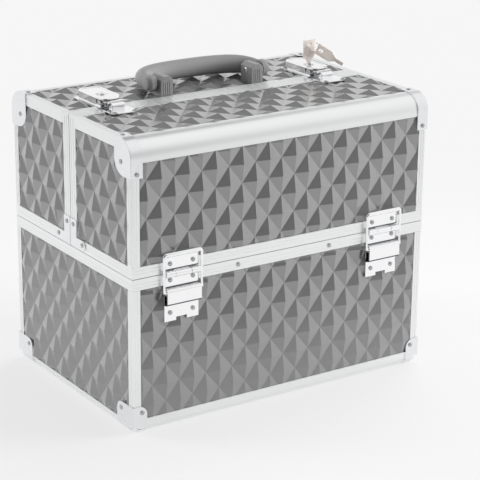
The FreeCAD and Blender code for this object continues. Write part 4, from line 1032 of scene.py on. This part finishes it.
def bar_rings(half_span, pivot, reach, steps=96, sides=36):
    """Rings along the U. The bar swells to the middle, where a soft ridge runs along its front."""
    bow = 2 / 2.7
    path = []
    for step in range(steps + 1):
        turn = math.pi * step / steps
        x = half_span * signed_power(math.cos(turn), bow)
        path.append(pivot + Vector((x, reach * abs(math.sin(turn)) ** bow, 0)))
    rings = []
    for step, spot in enumerate(path):
        ahead = path[min(step + 1, steps)] - path[max(step - 1, 0)]
        side = ahead.cross(up).normalized()
        swell = min(1.0, math.sin(math.pi * step / steps) * 1.2)
        swell = swell * swell * (3 - 2 * swell)
        wide, tall, power = 0.0048 + 0.0066 * swell, 0.0068 + 0.0021 * swell, 2 / (2.2 - 0.3 * swell)
        rings.append(
            [
                spot
                + side * wide * signed_power(math.cos(turn), power)
                + up * tall * signed_power(math.sin(turn), power)
                for turn in circle_turns(sides)
            ]
        )
    return rings


soft_plastic = moulded_plastic()
pivot_y, pivot_z = 0.0224, 0.28
bar_half_span, bar_reach, boss_x, pin_x = 0.0612, 0.0355, 0.0569, 0.0425
shape = bmesh.new()
loft(shape, bar_rings(bar_half_span, Vector((0, pivot_y, pivot_z)), bar_reach))
# The boss, outwards from its inner face: (distance, radius).
boss = ((0.0, 0.0058), (0.0014, 0.0058), (0.0016, 0.0074), (0.0022, 0.008), (0.0068, 0.008))
boss += ((0.0076, 0.0074), (0.0079, 0.0062), (0.0099, 0.0058), (0.0105, 0.0050), (0.0107, 0.0036))
for sign in (-1, 1):
    turned(shape, (sign * boss_x, pivot_y, pivot_z), (sign, 0, 0), boss, 40)
piece_from(shape, "handle_bar", 0.0003, soft_plastic, "handle", "handle_grip")

# The blocks: chamfered at the two upper corners, with four upright reeds on the front.
shape = bmesh.new()
block_inner, block_outer, block_front, block_rear = 0.0435, 0.0565, 0.0118, 0.0306
foot, crown, chamfer = 0.2678, 0.287, 0.0036
reed_wide, reed_step, reed_low, reed_high, reed_proud = 0.0014, 0.0022, 0.2692, 0.2822, 0.0004
for sign in (-1, 1):
    low, high = sorted((sign * block_inner, sign * block_outer))
    outline = ((low, foot), (high, foot), (high, crown - chamfer), (high - chamfer, crown))
    outline += ((low + chamfer, crown), (low, crown - chamfer))
    prism(shape, outline, block_front, block_rear, "xzy")
    for reed in range(4):
        start = low + 0.0024 + reed * reed_step
        section = rounded(start, start + reed_wide, reed_low, reed_high, 0.0006)
        prism(shape, section, block_front - reed_proud, block_front + 0.001, "xzy")
piece_from(shape, "handle_blocks", 0.0009, soft_plastic, "rear_lid", "handle_mounts", 3)

# The pins, outwards from a domed end: (distance, radius).
shape = bmesh.new()
pin = ((0.0, 0.0012), (0.0004, 0.0022), (0.001, 0.0026), (0.0213, 0.0026))
for sign in (-1, 1):
    turned(shape, (sign * pin_x, pivot_y, pivot_z), (sign, 0, 0), pin)
piece_from(shape, "handle_axle_pins", 0.0002, hinge_plate, "rear_lid", "handle_pins")


# ---- Trays and arms ----
# Four trays injection-moulded in dark ABS, two for each half, on pairs of plated flat steel arms.
# The arms turn on pins in the base and in the lid half, so that the trays rise and stay level.

tray_plastic, _, _ = finish("moulded tray ABS", "#47474A", Roughness=0.5, IOR=1.53)
softened("tray_arm_pivots", "tray_arm_pins", 0.0002, hinge_plate, "case")
for half in ("front", "rear"):
    for pair in ("inner", "outer"):
        node, name = f"{half}_tray_arms_{pair}", f"{half}_{pair}_arm_bars"
        softened(node, name, 0.0003, hinge_plate, f"{half}_{pair}_arms")
    node, name = f"{half}_lid_tray_pins", f"{half}_lid_pins"
    softened(node, name, 0.0002, hinge_plate, f"{half}_lid")
    for level in ("lower", "upper"):
        node = f"{half}_{level}_tray"
        softened(node, f"{node}_box", 0.0005, tray_plastic, node)
